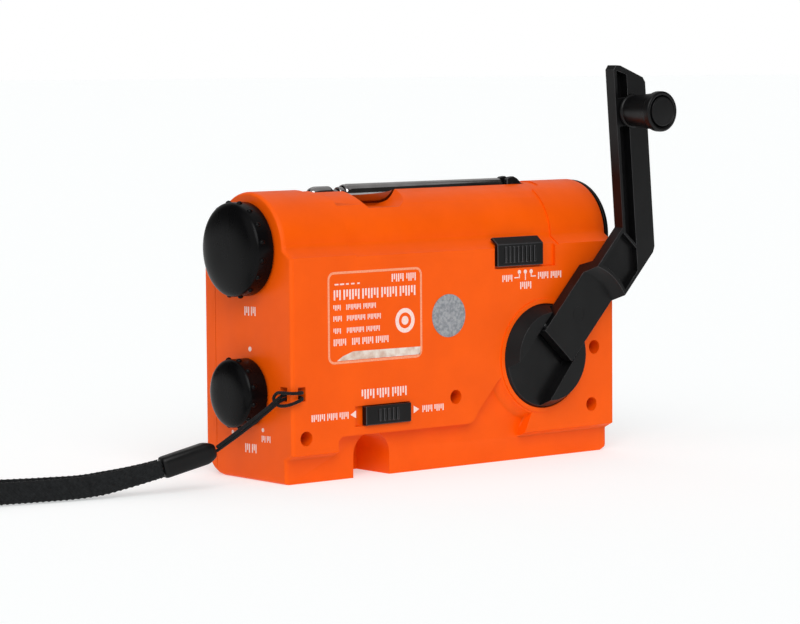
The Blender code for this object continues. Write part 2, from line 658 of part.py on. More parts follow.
IDLER_DISTANCE = GEAR_MODULE * (DRIVE_TEETH + IDLER_PINION_TEETH) / 2
ROTOR_DISTANCE = GEAR_MODULE * (IDLER_TEETH + ROTOR_TEETH) / 2
IDLER = (HUB.x + IDLER_DISTANCE * cos(IDLER_DIRECTION), HUB.z + IDLER_DISTANCE * sin(IDLER_DIRECTION))
ROTOR = (IDLER[0] + ROTOR_DISTANCE * cos(ROTOR_DIRECTION), IDLER[1] + ROTOR_DISTANCE * sin(ROTOR_DIRECTION))
DRIVE_PLANE = mm(15.0, 18.0)
IDLER_PLANE = mm(11.6, 14.2)


def crank_shaft():
    profile = [mm(8.2, 0), mm(8.2, 2.5), mm(12.6, 2.5), mm(12.6, 4.5), mm(14.6, 4.5), mm(14.6, 2.5),
               mm(23.2, 2.5), mm(23.2, 0)]
    return piece("crank_shaft", turned(profile, "Y", (HUB.x, HUB.z), 20), STEEL, (HUB.x, BACK, HUB.z))


def drive_gear():
    to_idler = gear_outline(DRIVE_TEETH, (HUB.x, HUB.z), IDLER_DIRECTION)
    low, high = DRIVE_PLANE
    gear = piece("drive_gear", prism(to_idler, "Y", low, high), WHITE, (HUB.x, low, HUB.z))
    cut(gear, "drive_bore", rod("Y", (HUB.x, HUB.z), mm(2.8), mm(10), mm(20), 20))
    return gear


def compound_gear():
    """The idler: a large wheel with a pinion on top, cut as one piece, turning on a fixed post."""
    to_rotor = gear_outline(IDLER_TEETH, IDLER, ROTOR_DIRECTION)
    low, high = IDLER_PLANE
    gear = piece("compound_gear", prism(to_rotor, "Y", low, high), WHITE, (IDLER[0], low, IDLER[1]))
    towards_drive = IDLER_DIRECTION + pi + pi / IDLER_PINION_TEETH
    pinion = gear_outline(IDLER_PINION_TEETH, IDLER, towards_drive)
    add(gear, "idler_pinion", prism(pinion, "Y", high - mm(0.5), mm(18.6)))
    cut(gear, "idler_bore", rod("Y", IDLER, mm(1.8), mm(8), mm(21), 16))
    return gear


PLATE_POSTS = [mm(-58, 52), mm(-52, 20.4), (ROTOR[0] + mm(6.5), ROTOR[1] - mm(7))]


def gearbox_plate():
    """The plate that carries the idler's post and the dynamo's nose, screwed to three posts on the case."""
    (x1, z1), (x2, z2), (x3, z3) = PLATE_POSTS
    outline = [
        (x2 - mm(3.5), z2 - mm(3)),
        (x2 + mm(3.5), z2 - mm(3.5)),
        (HUB.x + mm(10), HUB.z - mm(10)),
        (x3 + mm(3.5), z3 - mm(3)),
        (x3 + mm(3.5), ROTOR[1] + mm(6)),
        (IDLER[0] + mm(6), IDLER[1] + mm(9)),
        (IDLER[0] - mm(8), IDLER[1] + mm(8)),
        (x1 + mm(2), z1 + mm(4)),
        (x1 - mm(3.5), z1 + mm(3)),
        (x1 - mm(3), z1 - mm(3)),
        (HUB.x - mm(11), HUB.z + mm(9)),
    ]
    plate = piece("gearbox_plate", prism(outline, "Y", mm(9.0), mm(10.6)), STEEL)
    cut(plate, "plate_shaft", rod("Y", (HUB.x, HUB.z), mm(2.9), mm(5), mm(13), 20))
    cut(plate, "plate_rotor", rod("Y", ROTOR, mm(2.4), mm(5), mm(13), 16))
    cut(plate, "plate_post", rod("Y", IDLER, mm(1.8), mm(5), mm(13), 16))
    return plate


def idler_post():
    profile = [(mm(7.4), 0), (mm(7.4), mm(3.0)), (mm(8.7), mm(3.0)), (mm(8.7), mm(1.5)), (mm(19.8), mm(1.5)),
               (mm(19.8), 0)]
    return piece("idler_post", turned(profile, "Y", IDLER, 16), STEEL)


def dynamo_housing():
    profile = [mm(-10, 1.5), mm(-10, 11), mm(8.6, 11), mm(8.6, 1.5), mm(7.0, 1.5), mm(7.0, 9.6),
               mm(-8.4, 9.6), mm(-8.4, 1.5)]
    return piece("dynamo_housing", turned(profile, "Y", ROTOR, 24, closed=True), STEEL)


def dynamo_rotor():
    shaft = [mm(-9.6, 0), mm(-9.6, 1.0), mm(-7.2, 1.0), mm(-7.2, 8.4), mm(5.6, 8.4), mm(5.6, 1.0),
             mm(11.9, 1.0), mm(11.9, 0)]
    rotor = piece("dynamo_rotor", turned(shaft, "Y", ROTOR, 24), BRASS, (ROTOR[0], 0, ROTOR[1]))
    to_idler = ROTOR_DIRECTION + pi + pi / ROTOR_TEETH
    add(rotor, "rotor_pinion", prism(gear_outline(ROTOR_TEETH, ROTOR, to_idler), "Y", mm(11.3), mm(14.5)))
    return rotor


# ---------------------------------------------------------------- knobs
def knob(name, z, radius, depth, dome, nubs):
    """A round knob on the +X end: straight sides, a shallow domed face and small nubs around its rim."""
    base = END + mm(0.4)
    rim = base + depth
    profile = [(base, 0), (base, radius), (rim - mm(0.6), radius - mm(0.2))]
    profile.append((rim + mm(0.3), radius - mm(0.9)))
    for i in range(1, 5):
        r = (radius - mm(0.9)) * cos(i * pi / 8)
        profile.append((rim + mm(0.3) + dome * sin(i * pi / 8), r if i < 4 else 0))
    part = piece(name, turned(profile, "X", (KNOB_Y, z), 40), BLACK, (base, KNOB_Y, z))
    for i in range(nubs):
        angle = 2 * pi * (i + 0.5) / nubs
        centre = (KNOB_Y + (radius - mm(0.3)) * cos(angle), z + (radius - mm(0.3)) * sin(angle))
        add(part, f"{name}_nub_{i}", rod("X", centre, mm(0.85), rim - mm(3.0), rim - mm(0.7), 5))
    cut(part, name + "_socket", rod("X", (KNOB_Y, z), mm(3.0), END - mm(1), base + mm(4), 20))
    return part


def tuning_parts():
    knob("tuning_knob", TUNING_Z, TUNING_R, mm(6.4), mm(2.2), 16)
    profile = [(mm(55), 0), (mm(55), mm(1.6)), (mm(61.0), mm(1.6)), (mm(61.0), DRUM_R), (mm(63.4), DRUM_R),
               (mm(63.4), mm(2.7)), (mm(76.3), mm(2.7)), (mm(76.3), 0)]
    piece("tuning_shaft", turned(profile, "X", (KNOB_Y, TUNING_Z), 28), WHITE, (END, KNOB_Y, TUNING_Z))
    low, high = mm(43, -9, 69), mm(58, 10, 87)
    capacitor = piece("tuning_capacitor", block(low, high), CLEAR)
    cut(capacitor, "capacitor_bore", rod("X", (KNOB_Y, TUNING_Z), mm(1.9), mm(54), mm(60), 16))


def volume_parts():
    knob("volume_knob", VOLUME_Z, VOLUME_R, mm(7.2), mm(1.8), 12)
    shaft = [(mm(64.6), 0), (mm(64.6), mm(2.7)), (mm(76.3), mm(2.7)), (mm(76.3), 0)]
    piece("volume_shaft", turned(shaft, "X", (KNOB_Y, VOLUME_Z), 20), STEEL, (END, KNOB_Y, VOLUME_Z))
    profile = [(mm(58), 0), (mm(58), mm(8)), (mm(69.5), mm(8)), (mm(69.5), mm(3.0)), (mm(64.2), mm(3.0)),
               (mm(64.2), 0)]
    piece("volume_pot", turned(profile, "X", (KNOB_Y, VOLUME_Z), 28), STEEL)


# ---------------------------------------------------------------- slide switches
def ribbed_cap(name, plate, face, ribs, stem):
    """A slide switch's cap: a plate with upright ribs on its face, and a stem into the switch behind."""
    middle = (stem[0][0] + stem[1][0]) / 2
    cap = piece(name, plate, BLACK, (middle, face, stem[0][2]))
    first, last, low, high, count = ribs
    for i in range(count):
        x = first + (last - first) * i / (count - 1)
        rib = block((x - mm(0.45), face - mm(0.4), low), (x + mm(0.45), face + mm(0.4), high))
        add(cap, f"{name}_rib_{i}", rib)
    add(cap, name + "_stem", block(*stem))
    return cap


def switches():
    # flashlight slide, on the shoulder below the barrel
    side = [mm(23.6, 68.7), mm(25.3, 68.7), mm(25.3, 76.4), mm(22.2, 78.8), mm(21.0, 78.1), mm(23.6, 76.5)]
    ribs = (mm(-34.0), mm(-20.8), mm(69.9), mm(75.6), 8)
    stem = (mm(-31.2, 17.2, 70.2), mm(-27.2, 24.0, 72.4))
    ribbed_cap("flashlight_switch_cap", prism(side, "X", mm(-38.0), mm(-17.0)), mm(25.3), ribs, stem)
    body = piece("flashlight_switch_body", block(mm(-42, 15.2, 66), mm(-15, 20.0, 75)), STEEL)
    cut(body, "torch_switch_slot", block(mm(-36.6, 16.8, 69.6), mm(-26, 22, 73)))

    # power selector, above the crank's recess
    plate = block(mm(22.7, 23.6, 18.1), mm(42.2, 25.9, 24.5))
    ribs = (mm(28.6), mm(36.3), mm(19.2), mm(23.4), 5)
    stem = (mm(31.0, 13.4, 20.2), mm(34.0, 24.0, 22.4))
    ribbed_cap("power_switch_cap", plate, mm(25.9), ribs, stem)
    body = piece("power_switch_body", block(mm(24, 11.4, 17.2), mm(41, 17.6, 26.4)), STEEL)
    cut(body, "power_switch_slot", block(mm(30.4, 13.0, 19.6), mm(38.2, 19, 23)))

    # band selector on the front
    y = -BACK
    plate = block((mm(-38.5), y - mm(1.6), mm(29.6)), (mm(-31.5), y - mm(0.3), mm(36.4)))
    cap = piece("band_switch_cap", plate, BLACK, (mm(-35), y, mm(33)))
    add(cap, "band_stem", block((mm(-36.5), y - mm(1), mm(32.0)), (mm(-33.5), mm(-19.0), mm(34.0))))
    body = piece("band_switch_body", block(mm(-50, -21.6, 26), mm(-20, -16.6, 40)), STEEL)
    cut(body, "band_body_slot", block(mm(-45.4, -22, 31.4), mm(-24.6, -18.4, 34.6)))


# ---------------------------------------------------------------- flashlight
def flashlight():
    face = -END
    centre = (BARREL_Y, BARREL_Z)
    bezel = [
        (face - mm(0.3), mm(16.9)),
        (face - mm(0.3), mm(19.2)),
        (face - mm(1.5), mm(19.2)),
        (face - mm(2.0), mm(18.6)),
        (face - mm(2.0), mm(16.6)),
        (face - mm(0.9), mm(15.4)),
        (face + mm(5.6), mm(15.4)),
        (face + mm(5.6), mm(16.9)),
    ]
    piece("flashlight_bezel", turned(bezel, "X", centre, 36, closed=True), BLACK)
    piece("flashlight_lens", rod("X", centre, mm(15.1), face + mm(0.2), face + mm(1.6), 40), CLEAR)
    cup = [(face + mm(2.0), mm(15.0)), (face + mm(2.0), mm(14.2))]
    inner = [(face + mm(2.0) + mm(12) * k * k, mm(14.2) - mm(10.4) * k) for k in (0.45, 0.75, 1.0)]
    outer = [(a + mm(0.6), r + mm(1.0)) for a, r in reversed(inner)]
    piece("flashlight_reflector", turned(cup + inner + outer, "X", centre, 28, closed=True), MIRROR)
    board = [
        (face + mm(15.6), 0),
        (face + mm(15.6), mm(12)),
        (face + mm(14.4) + mm(0.9), mm(12)),
        (face + mm(14.4) + mm(0.9), mm(2.5)),
        (face + mm(9.6), mm(2.5)),
        (face + mm(7.6), mm(1.5)),
        (face + mm(7.2), 0),
    ]
    piece("flashlight_led_board", turned(board, "X", centre, 24), BOARD)


# ---------------------------------------------------------------- antenna
def antenna():
    centre = (BARREL_Y, ANTENNA_Z)
    hinge = (ANTENNA_HINGE_X, BARREL_Y, ANTENNA_Z)
    knuckle = [
        mm(-47.2, 91.9),
        mm(-40.0, 91.9),
        mm(-40.0, 98.0),
        mm(-41.0, 98.7),
        mm(-43.0, 98.9),
        mm(-44.8, 98.1),
        mm(-47.2, 96.0),
    ]
    yoke = piece("antenna_yoke", prism(knuckle, "Y", mm(-2.3), mm(3.9)), BLACK)
    cut(yoke, "yoke_slot", block(mm(-45.2, -0.7, 92.9), mm(-38, 2.3, 100)))
    cut(yoke, "yoke_bore", rod("Y", (ANTENNA_HINGE_X, ANTENNA_Z), mm(1.1), mm(-4), mm(6), 12))
    pin = rod("Y", (ANTENNA_HINGE_X, ANTENNA_Z), mm(0.8), mm(-2.2), mm(3.8), 12)
    piece("antenna_pin", pin, STEEL)

    # four sections, each sliding in the last; the innermost carries the tip
    start = ANTENNA_HINGE_X + mm(4.3)
    first = [
        (start, mm(2.55)),
        (start, TUBE_R),
        (mm(30.4), TUBE_R),
        mm(32.3, 2.8),
        mm(32.3, 2.55),
    ]
    tube_1 = piece("antenna_section_1", turned(first, "X", centre, 24, closed=True), CHROME, hinge)
    add(tube_1, "antenna_plug", rod("X", centre, mm(2.9), start, start + mm(2.2), 24))
    add(tube_1, "antenna_tongue", block(mm(-43.4, -0.4, 93.7), mm(-37.0, 2.0, 96.7)))
    cut(tube_1, "tongue_bore", rod("Y", (ANTENNA_HINGE_X, ANTENNA_Z), mm(1.1), mm(-4), mm(6), 12))
    for number, low, high, outer, inner in (
        (2, *mm(-34.8, 34.5, 2.3, 1.75)),
        (3, *mm(-33.6, 36.4, 1.45, 1.0)),
    ):
        mouth = [(high - mm(0.5), outer), (high, outer - mm(0.2)), (high, inner)]
        section = turned([(low, inner), (low, outer), *mouth], "X", centre, 20, closed=True)
        piece(f"antenna_section_{number}", section, CHROME, (low, *centre))
    tip = [
        (mm(-32.4), 0),
        (mm(-32.4), mm(0.7)),
        (mm(37.4), mm(0.7)),
        (mm(37.4), mm(2.2)),
        (mm(38.2), mm(2.7)),
        (mm(44.6), mm(2.7)),
        (mm(46.4), mm(2.1)),
        (mm(47.2), mm(1.0)),
        (mm(47.3), 0),
    ]
    piece("antenna_section_4", turned(tip, "X", centre, 20), CHROME, (tip[0][0], *centre))


# ---------------------------------------------------------------- dial, speaker and electronics
SPEAKER = mm(31, 42)  # (x, z)
POINTER_X = mm(-35)


def dial():
    y = -BACK
    piece("dial_window", block((mm(-63.7), y + mm(0.1), mm(49.3)), (mm(-6.3), y + mm(0.7), mm(70.7))), CLEAR)
    piece("dial_scale", block(mm(-66, -16.6, 46), mm(-4, -15.6, 73)), WHITE)
    low = (POINTER_X - mm(0.6), mm(-20.6), mm(50.5))
    needle = block(low, (POINTER_X + mm(0.6), mm(-19.4), mm(69)))
    pointer = piece("dial_pointer", needle, POINTER_RED, (POINTER_X, mm(-19.7), mm(67)))
    low = (POINTER_X - mm(3), mm(-19.7), mm(66))
    add(pointer, "pointer_carriage", block(low, (POINTER_X + mm(3), mm(-17.0), mm(68.6))))


def speaker():
    profile = [mm(-21.8, 0), mm(-21.8, 4), mm(-20.8, 6), mm(-21.9, 21), mm(-21.9, 26), mm(-20.4, 26),
               mm(-14, 15), mm(-10.5, 14), mm(-6.5, 14), mm(-6.5, 0)]
    piece("speaker", turned(profile, "Y", SPEAKER, 32), PAPER)


def electronics():
    piece("main_board", block(mm(8, -4.6, 31), mm(57, -3.0, 66)), BOARD)
    piece("ferrite_rod", rod("X", mm(12, 62), mm(4), mm(-1), mm(52), 16), FERRITE)
    piece("rechargeable_pack", block(mm(-3, -16, 3), mm(24.5, 15, 13.4)), CELL)
    start = BATTERY_BAY[0][0] + mm(1.6)
    shoulder = start + mm(43.5)
    tip = start + mm(44.5)
    cell_r, tip_r = mm(5.1, 1.9)
    profile = [(start, 0), (start, cell_r), (shoulder, cell_r), (shoulder, tip_r), (tip, tip_r), (tip, 0)]
    for i in range(3):
        y = mm(-11.2) + i * mm(10.8)
        piece(f"dry_cell_{i + 1}", turned(profile, "X", (y, CELL_Z), 20), CELL)
    strip_x = tip + mm(0.8)
    piece("battery_contacts", block((strip_x, mm(-16), mm(4)), (strip_x + mm(1.2), mm(15), mm(13))), STEEL)
    jack = piece("jack_block", block(mm(-70, -14.5, 22.5), mm(-60, -3.5, 32.4)), BLACK)
    cut(jack, "jack_hole", rod("X", mm(-6.6, 27.5), mm(1.8), mm(-71), mm(-63), 12))
    cut(jack, "jack_socket", block(mm(-71, -13.2, 25.8), mm(-63, -9.4, 29.2)))
    cover = block((-END - mm(0.1), mm(-15.1), mm(22.1)), (-END + mm(1.0), mm(-2.9), mm(32.9)))
    piece("port_cover", cover, RUBBER, (-END, mm(-9), mm(32.9)))
    piece("inspection_sticker", rod("Y", mm(4.8, 53.0), mm(7.5), BACK + mm(0.2), BACK + mm(0.4), 32), STICKER)


# ---------------------------------------------------------------- wrist lanyard
def smooth_route(points, step):
    """Evenly spaced points on a smooth curve through the points given."""
    dense = []
    ends = [points[0]] + points + [points[-1]]
    for a, b, c, d in zip(ends, ends[1:], ends[2:], ends[3:]):
        a, b, c, d = Vector(a), Vector(b), Vector(c), Vector(d)
        for i in range(24):
            t = i / 24
            dense.append(0.5 * (2 * b + (c - a) * t + (2 * a - 5 * b + 4 * c - d) * t * t
                                + (3 * b - a - 3 * c + d) * t ** 3))
    dense.append(Vector(points[-1]))
    reach = [0.0]
    for p, q in zip(dense, dense[1:]):
        reach.append(reach[-1] + (q - p).length)
    count = max(2, round(reach[-1] / step))
    found = []
    i = 0
    for k in range(count + 1):
        target = reach[-1] * k / count
        while i < len(reach) - 2 and reach[i + 1] < target:
            i += 1
        span = reach[i + 1] - reach[i]
        found.append(dense[i].lerp(dense[i + 1], (target - reach[i]) / span if span else 0))
    return found


def cord_object(name, points, thickness, width, material):
    """A cord or a flat strap along the points, closed at its ends; width is a strap's upright size."""
    curve = bpy.data.curves.new(name, "CURVE")
    curve.dimensions = "3D"
    curve.twist_mode = "Z_UP"
    curve.bevel_depth = thickness / 2
    curve.bevel_resolution = 2
    curve.extrude = max(0.0, (width - thickness) / 2)
    curve.use_fill_caps = True
    spline = curve.splines.new("POLY")
    spline.points.add(len(points) - 1)
    for target, p in zip(spline.points, points):
        target.co = (*p, 1)
    curve.materials.append(material)
    ob = bpy.data.objects.new(name, curve)
    bpy.context.scene.collection.objects.link(ob)
    return ob


THREAD_D = mm(1.1)
STRAP_W, STRAP_T = mm(7.0, 1.6)
FERRULE_FROM, FERRULE_TO = Vector(mm(97.5, 15.2, 13.5)), Vector(mm(115.7, 11.2, 8.8))
THREAD_ROUTE = [
    mm(96.8, 15.7, 14.5),
    mm(88.5, 17.6, 19.9),
    mm(80.0, 19.4, 25.6),
    mm(76.0, 20.0, 28.4),
    mm(73.4, 20.1, 29.9),
    mm(71.2, 20.0, 30.2),
    mm(69.0, 20.9, 30.6),
    mm(68.1, 23.2, 30.9),
    mm(69.0, 25.5, 31.1),
    mm(71.2, 26.4, 31.2),
    mm(73.4, 25.4, 31.2),
    mm(74.4, 22.6, 31.2),
    mm(74.8, 19.6, 31.0),
    mm(75.0, 17.8, 29.1),
    mm(74.8, 19.6, 27.1),
    mm(74.4, 22.6, 26.9),
    mm(73.4, 25.4, 27.6),
    mm(71.2, 26.4, 28.5),
    mm(69.0, 25.5, 29.1),
    mm(68.1, 23.2, 29.3),
    mm(69.0, 20.9, 29.1),
    mm(71.2, 20.0, 28.9),
    mm(73.4, 20.0, 28.5),
    mm(76.0, 19.8, 27.0),
    mm(80.0, 19.0, 24.1),
    mm(88.5, 17.2, 18.3),
    mm(96.8, 15.2, 13.1),
]
STRAP_ROUTE = [
    mm(116.6, 12.4, 8.7),
    mm(123.2, 10.2, 7.2),
    mm(130.0, 8.3, 5.9),
    mm(136.8, 6.6, 4.8),
    mm(145.0, 4.7, 4.2),
    mm(156.8, 2.1, 4.1),
    mm(169.9, -0.9, 4.1),
    mm(184.0, -3.6, 4.1),
    mm(199.0, -4.6, 4.1),
    mm(211.0, -7.4, 4.1),
    mm(216.6, -16.0, 4.1),
    mm(213.0, -25.6, 4.1),
    mm(201.0, -28.6, 4.1),
    mm(187.0, -22.0, 4.1),
    mm(176.0, -13.6, 4.1),
    mm(164.0, -7.2, 4.1),
    mm(151.0, -2.4, 4.1),
    mm(140.0, 1.2, 4.3),
    mm(130.0, 4.4, 5.6),
    mm(122.6, 7.4, 7.1),
    mm(116.1, 9.8, 8.7),
]


def lanyard():
    cord_object("lanyard_thread", smooth_route(THREAD_ROUTE, mm(2.1)), THREAD_D, THREAD_D, WEBBING)
    cord_object("wrist_strap", smooth_route(STRAP_ROUTE, mm(8)), STRAP_T, STRAP_W, WEBBING)

    # the moulded sleeve that joins thread and strap: a flat rounded block, laid along its own axis
    length = (FERRULE_TO - FERRULE_FROM).length
    half_w, half_t = mm(3.6, 2.8)
    bm = block((-length / 2, -half_t, -half_w), (length / 2, half_t, half_w))
    bevel_ends(bm, "X", (-length / 2, length / 2), mm(1.2), 2)
    along = (FERRULE_TO - FERRULE_FROM).normalized()
    side = Vector((0, 0, 1)).cross(along).normalized()
    up = along.cross(side)
    turn = Matrix((along, side, up)).transposed().to_4x4()
    middle = (FERRULE_FROM + FERRULE_TO) / 2
    bmesh.ops.transform(bm, verts=bm.verts, matrix=Matrix.Translation(middle) @ turn)
    piece("strap_ferrule", bm, BLACK)


# ---------------------------------------------------------------- assembly
CAVITY = cavity_form()
rear_case(CAVITY)
front_case(CAVITY)
battery_door()
case_screws()
crank_hub()
crank_hinge_pin()
crank_arm()
finger_knob()
finger_knob_pin()
crank_shaft()
drive_gear()
compound_gear()
gearbox_plate()
idler_post()
dynamo_housing()
dynamo_rotor()
tuning_parts()
volume_parts()
switches()
flashlight()
antenna()
dial()
speaker()
electronics()
lanyard()
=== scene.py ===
"""Looks of the hand-cranked emergency radio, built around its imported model.

Metres, +Z up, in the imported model's frame: the back with the crank faces +Y, the knobs are on +X and the
flashlight on -X. Every place is worked out from the frame's boxes or given in the part's own millimetres.
"""

import json
from math import cos, pi, radians, sin

import bmesh
import bpy
from mathutils import Matrix, Vector


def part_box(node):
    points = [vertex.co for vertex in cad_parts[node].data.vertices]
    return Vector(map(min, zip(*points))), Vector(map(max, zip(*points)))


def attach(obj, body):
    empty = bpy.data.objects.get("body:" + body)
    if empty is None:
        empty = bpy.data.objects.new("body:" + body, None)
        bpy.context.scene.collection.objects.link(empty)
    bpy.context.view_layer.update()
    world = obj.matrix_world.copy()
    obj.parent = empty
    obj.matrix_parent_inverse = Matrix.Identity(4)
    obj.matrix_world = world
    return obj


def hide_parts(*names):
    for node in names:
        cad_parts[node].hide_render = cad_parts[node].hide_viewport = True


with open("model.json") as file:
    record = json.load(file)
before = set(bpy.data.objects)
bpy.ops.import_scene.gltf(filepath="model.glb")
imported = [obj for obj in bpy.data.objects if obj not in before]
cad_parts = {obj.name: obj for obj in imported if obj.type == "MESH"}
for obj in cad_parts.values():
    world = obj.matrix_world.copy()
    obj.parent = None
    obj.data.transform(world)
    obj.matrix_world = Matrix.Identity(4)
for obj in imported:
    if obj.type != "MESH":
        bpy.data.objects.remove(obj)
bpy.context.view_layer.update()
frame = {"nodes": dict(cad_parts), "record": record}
NODES = frame["nodes"]
MM = 0.001  # the drawing functions below take millimetres
END, BACK = 72.5, 24.5  # the case's end faces are at X = +-END, its back face at Y = BACK


def mm(*values):
    """Millimetres to metres: a number, or a tuple of numbers."""
    scaled = tuple(v * 0.001 for v in values)
    return scaled if len(scaled) > 1 else scaled[0]


# ---------------------------------------------------------------- camera
def add_camera():
    """A long lens at the height of the case's top, looking at the back from the knobs' side."""
    azimuth, elevation, roll = radians(140.97), radians(4.64), radians(-0.43)
    target = Vector(mm(10.03, 4.5, 53.37))
    distance = mm(1098.6)
    forward = Vector((-sin(azimuth) * cos(elevation), cos(azimuth) * cos(elevation), -sin(elevation)))
    right = Vector((cos(azimuth), sin(azimuth), 0))
    up = right.cross(forward)
    rolled_right = cos(roll) * right + sin(roll) * up
    rolled_up = cos(roll) * up - sin(roll) * right
    data = bpy.data.cameras.new("camera")
    data.sensor_width = 36.0
    data.lens = 142.48
    data.clip_start, data.clip_end = 0.05, 20.0
    camera = bpy.data.objects.new("camera", data)
    turn = Matrix((rolled_right, rolled_up, -forward)).transposed().to_4x4()
    camera.matrix_world = Matrix.Translation(target - distance * forward) @ turn
    bpy.context.scene.collection.objects.link(camera)
    bpy.context.scene.camera = camera


add_camera()


# ---------------------------------------------------------------- wrist lanyard: routes, thread and strap
FERRULE_FROM, FERRULE_TO = Vector(mm(97.5, 15.2, 13.5)), Vector(mm(115.7, 11.2, 8.8))
THREAD_ROUTE = [
    mm(96.8, 15.7, 14.5),
    mm(88.5, 17.6, 19.9),
    mm(80.0, 19.4, 25.6),
    mm(76.0, 20.0, 28.4),
    mm(73.4, 20.1, 29.9),
    mm(71.2, 20.0, 30.2),
    mm(69.0, 20.9, 30.6),
    mm(68.1, 23.2, 30.9),
    mm(69.0, 25.5, 31.1),
    mm(71.2, 26.4, 31.2),
    mm(73.4, 25.4, 31.2),
    mm(74.4, 22.6, 31.2),
    mm(74.8, 19.6, 31.0),
    mm(75.0, 17.8, 29.1),
    mm(74.8, 19.6, 27.1),
    mm(74.4, 22.6, 26.9),
    mm(73.4, 25.4, 27.6),
    mm(71.2, 26.4, 28.5),
    mm(69.0, 25.5, 29.1),
    mm(68.1, 23.2, 29.3),
    mm(69.0, 20.9, 29.1),
    mm(71.2, 20.0, 28.9),
    mm(73.4, 20.0, 28.5),
    mm(76.0, 19.8, 27.0),
    mm(80.0, 19.0, 24.1),
    mm(88.5, 17.2, 18.3),
    mm(96.8, 15.2, 13.1),
]
STRAP_ROUTE = [
    mm(116.6, 12.4, 8.7),
    mm(123.2, 10.2, 7.2),
    mm(130.0, 8.3, 5.9),
    mm(136.8, 6.6, 4.8),
    mm(145.0, 4.7, 4.2),
    mm(156.8, 2.1, 4.1),
    mm(169.9, -0.9, 4.1),
    mm(184.0, -3.6, 4.1),
    mm(199.0, -4.6, 4.1),
    mm(211.0, -7.4, 4.1),
    mm(216.6, -16.0, 4.1),
    mm(213.0, -25.6, 4.1),
    mm(201.0, -28.6, 4.1),
    mm(187.0, -22.0, 4.1),
    mm(176.0, -13.6, 4.1),
    mm(164.0, -7.2, 4.1),
    mm(151.0, -2.4, 4.1),
    mm(140.0, 1.2, 4.3),
    mm(130.0, 4.4, 5.6),
    mm(122.6, 7.4, 7.1),
    mm(116.1, 9.8, 8.7),
]


def smooth_route(points, step):
    """Evenly spaced points on a smooth curve through the points given."""
    dense = []
    ends = [points[0]] + points + [points[-1]]
    for a, b, c, d in zip(ends, ends[1:], ends[2:], ends[3:]):
        a, b, c, d = Vector(a), Vector(b), Vector(c), Vector(d)
        for i in range(24):
            t = i / 24
            dense.append(0.5 * (2 * b + (c - a) * t + (2 * a - 5 * b + 4 * c - d) * t * t
                                + (3 * b - a - 3 * c + d) * t ** 3))
    dense.append(Vector(points[-1]))
    reach = [0.0]
    for p, q in zip(dense, dense[1:]):
        reach.append(reach[-1] + (q - p).length)
    count = max(2, round(reach[-1] / step))
    found = []
    i = 0
    for k in range(count + 1):
        target = reach[-1] * k / count
        while i < len(reach) - 2 and reach[i + 1] < target:
            i += 1
        span = reach[i + 1] - reach[i]
        found.append(dense[i].lerp(dense[i + 1], (target - reach[i]) / span if span else 0))
    return found


def length_of(points):
    return sum((q - p).length for p, q in zip(points, points[1:]))


# ---------------------------------------------------------------- materials
def principled(name, colour, roughness, metallic=0.0, specular=0.5):
    made = bpy.data.materials.new(name)
    made.use_nodes = True
    shader = made.node_tree.nodes["Principled BSDF"]
    shader.inputs["Base Color"].default_value = (*colour, 1.0)
    shader.inputs["Roughness"].default_value = roughness
    shader.inputs["Metallic"].default_value = metallic
    shader.inputs["Specular IOR Level"].default_value = specular
    return made


def pattern(made, kind, size, stretch=(1, 1, 1), detail=3.0):
    """A procedural texture whose features are about size millimetres, in the piece's own coordinates."""
    nodes, links = made.node_tree.nodes, made.node_tree.links
    coordinates = nodes.new("ShaderNodeTexCoord")
    mapping = nodes.new("ShaderNodeMapping")
    mapping.inputs["Scale"].default_value = stretch
    texture = nodes.new("ShaderNodeTex" + kind)
    texture.inputs["Scale"].default_value = 1 / (size * MM)
    if "Detail" in texture.inputs:
        texture.inputs["Detail"].default_value = detail
    links.new(coordinates.outputs["Object"], mapping.inputs["Vector"])
    links.new(mapping.outputs["Vector"], texture.inputs["Vector"])
    return texture


def drive(made, source, socket, low, high, start=0.3, stop=0.7):
    """The source's value, from start to stop, sets a socket from low to high: a number, or a colour."""
    nodes, links = made.node_tree.nodes, made.node_tree.links
    shader = nodes["Principled BSDF"]
    if socket == "Base Color":
        ramp = nodes.new("ShaderNodeValToRGB")
        ramp.color_ramp.elements[0].position = start
        ramp.color_ramp.elements[0].color = (*low, 1)
        ramp.color_ramp.elements[1].position = stop
        ramp.color_ramp.elements[1].color = (*high, 1)
        links.new(source, ramp.inputs["Fac"])
        links.new(ramp.outputs["Color"], shader.inputs[socket])
        return
    span = nodes.new("ShaderNodeMapRange")
    span.inputs["From Min"].default_value = start
    span.inputs["From Max"].default_value = stop
    span.inputs["To Min"].default_value = low
    span.inputs["To Max"].default_value = high
    links.new(source, span.inputs["Value"])
    links.new(span.outputs["Result"], shader.inputs[socket])


def bump(made, source, depth):
    """The source's value raises the surface by depth millimetres."""
    nodes, links = made.node_tree.nodes, made.node_tree.links
    relief = nodes.new("ShaderNodeBump")
    relief.inputs["Distance"].default_value = depth * MM
    relief.inputs["Strength"].default_value = 1.0
    links.new(source, relief.inputs["Height"])
    links.new(relief.outputs["Normal"], nodes["Principled BSDF"].inputs["Normal"])


def moulded(name, dark, light, rough_low, rough_high, grain=0.22, depth=0.006, specular=0.5):
    """Injection-moulded plastic: a fine spark-eroded grain, slight flow marks, and uneven gloss."""
    made = principled(name, light, rough_high, specular=specular)
    drive(made, pattern(made, "Noise", 14, detail=5).outputs["Fac"], "Base Color", dark, light)
    drive(made, pattern(made, "Noise", 5, (1, 1, 0.4), 4).outputs["Fac"], "Roughness", rough_low, rough_high)
    bump(made, pattern(made, "Noise", grain, detail=1).outputs["Fac"], depth)
    return made


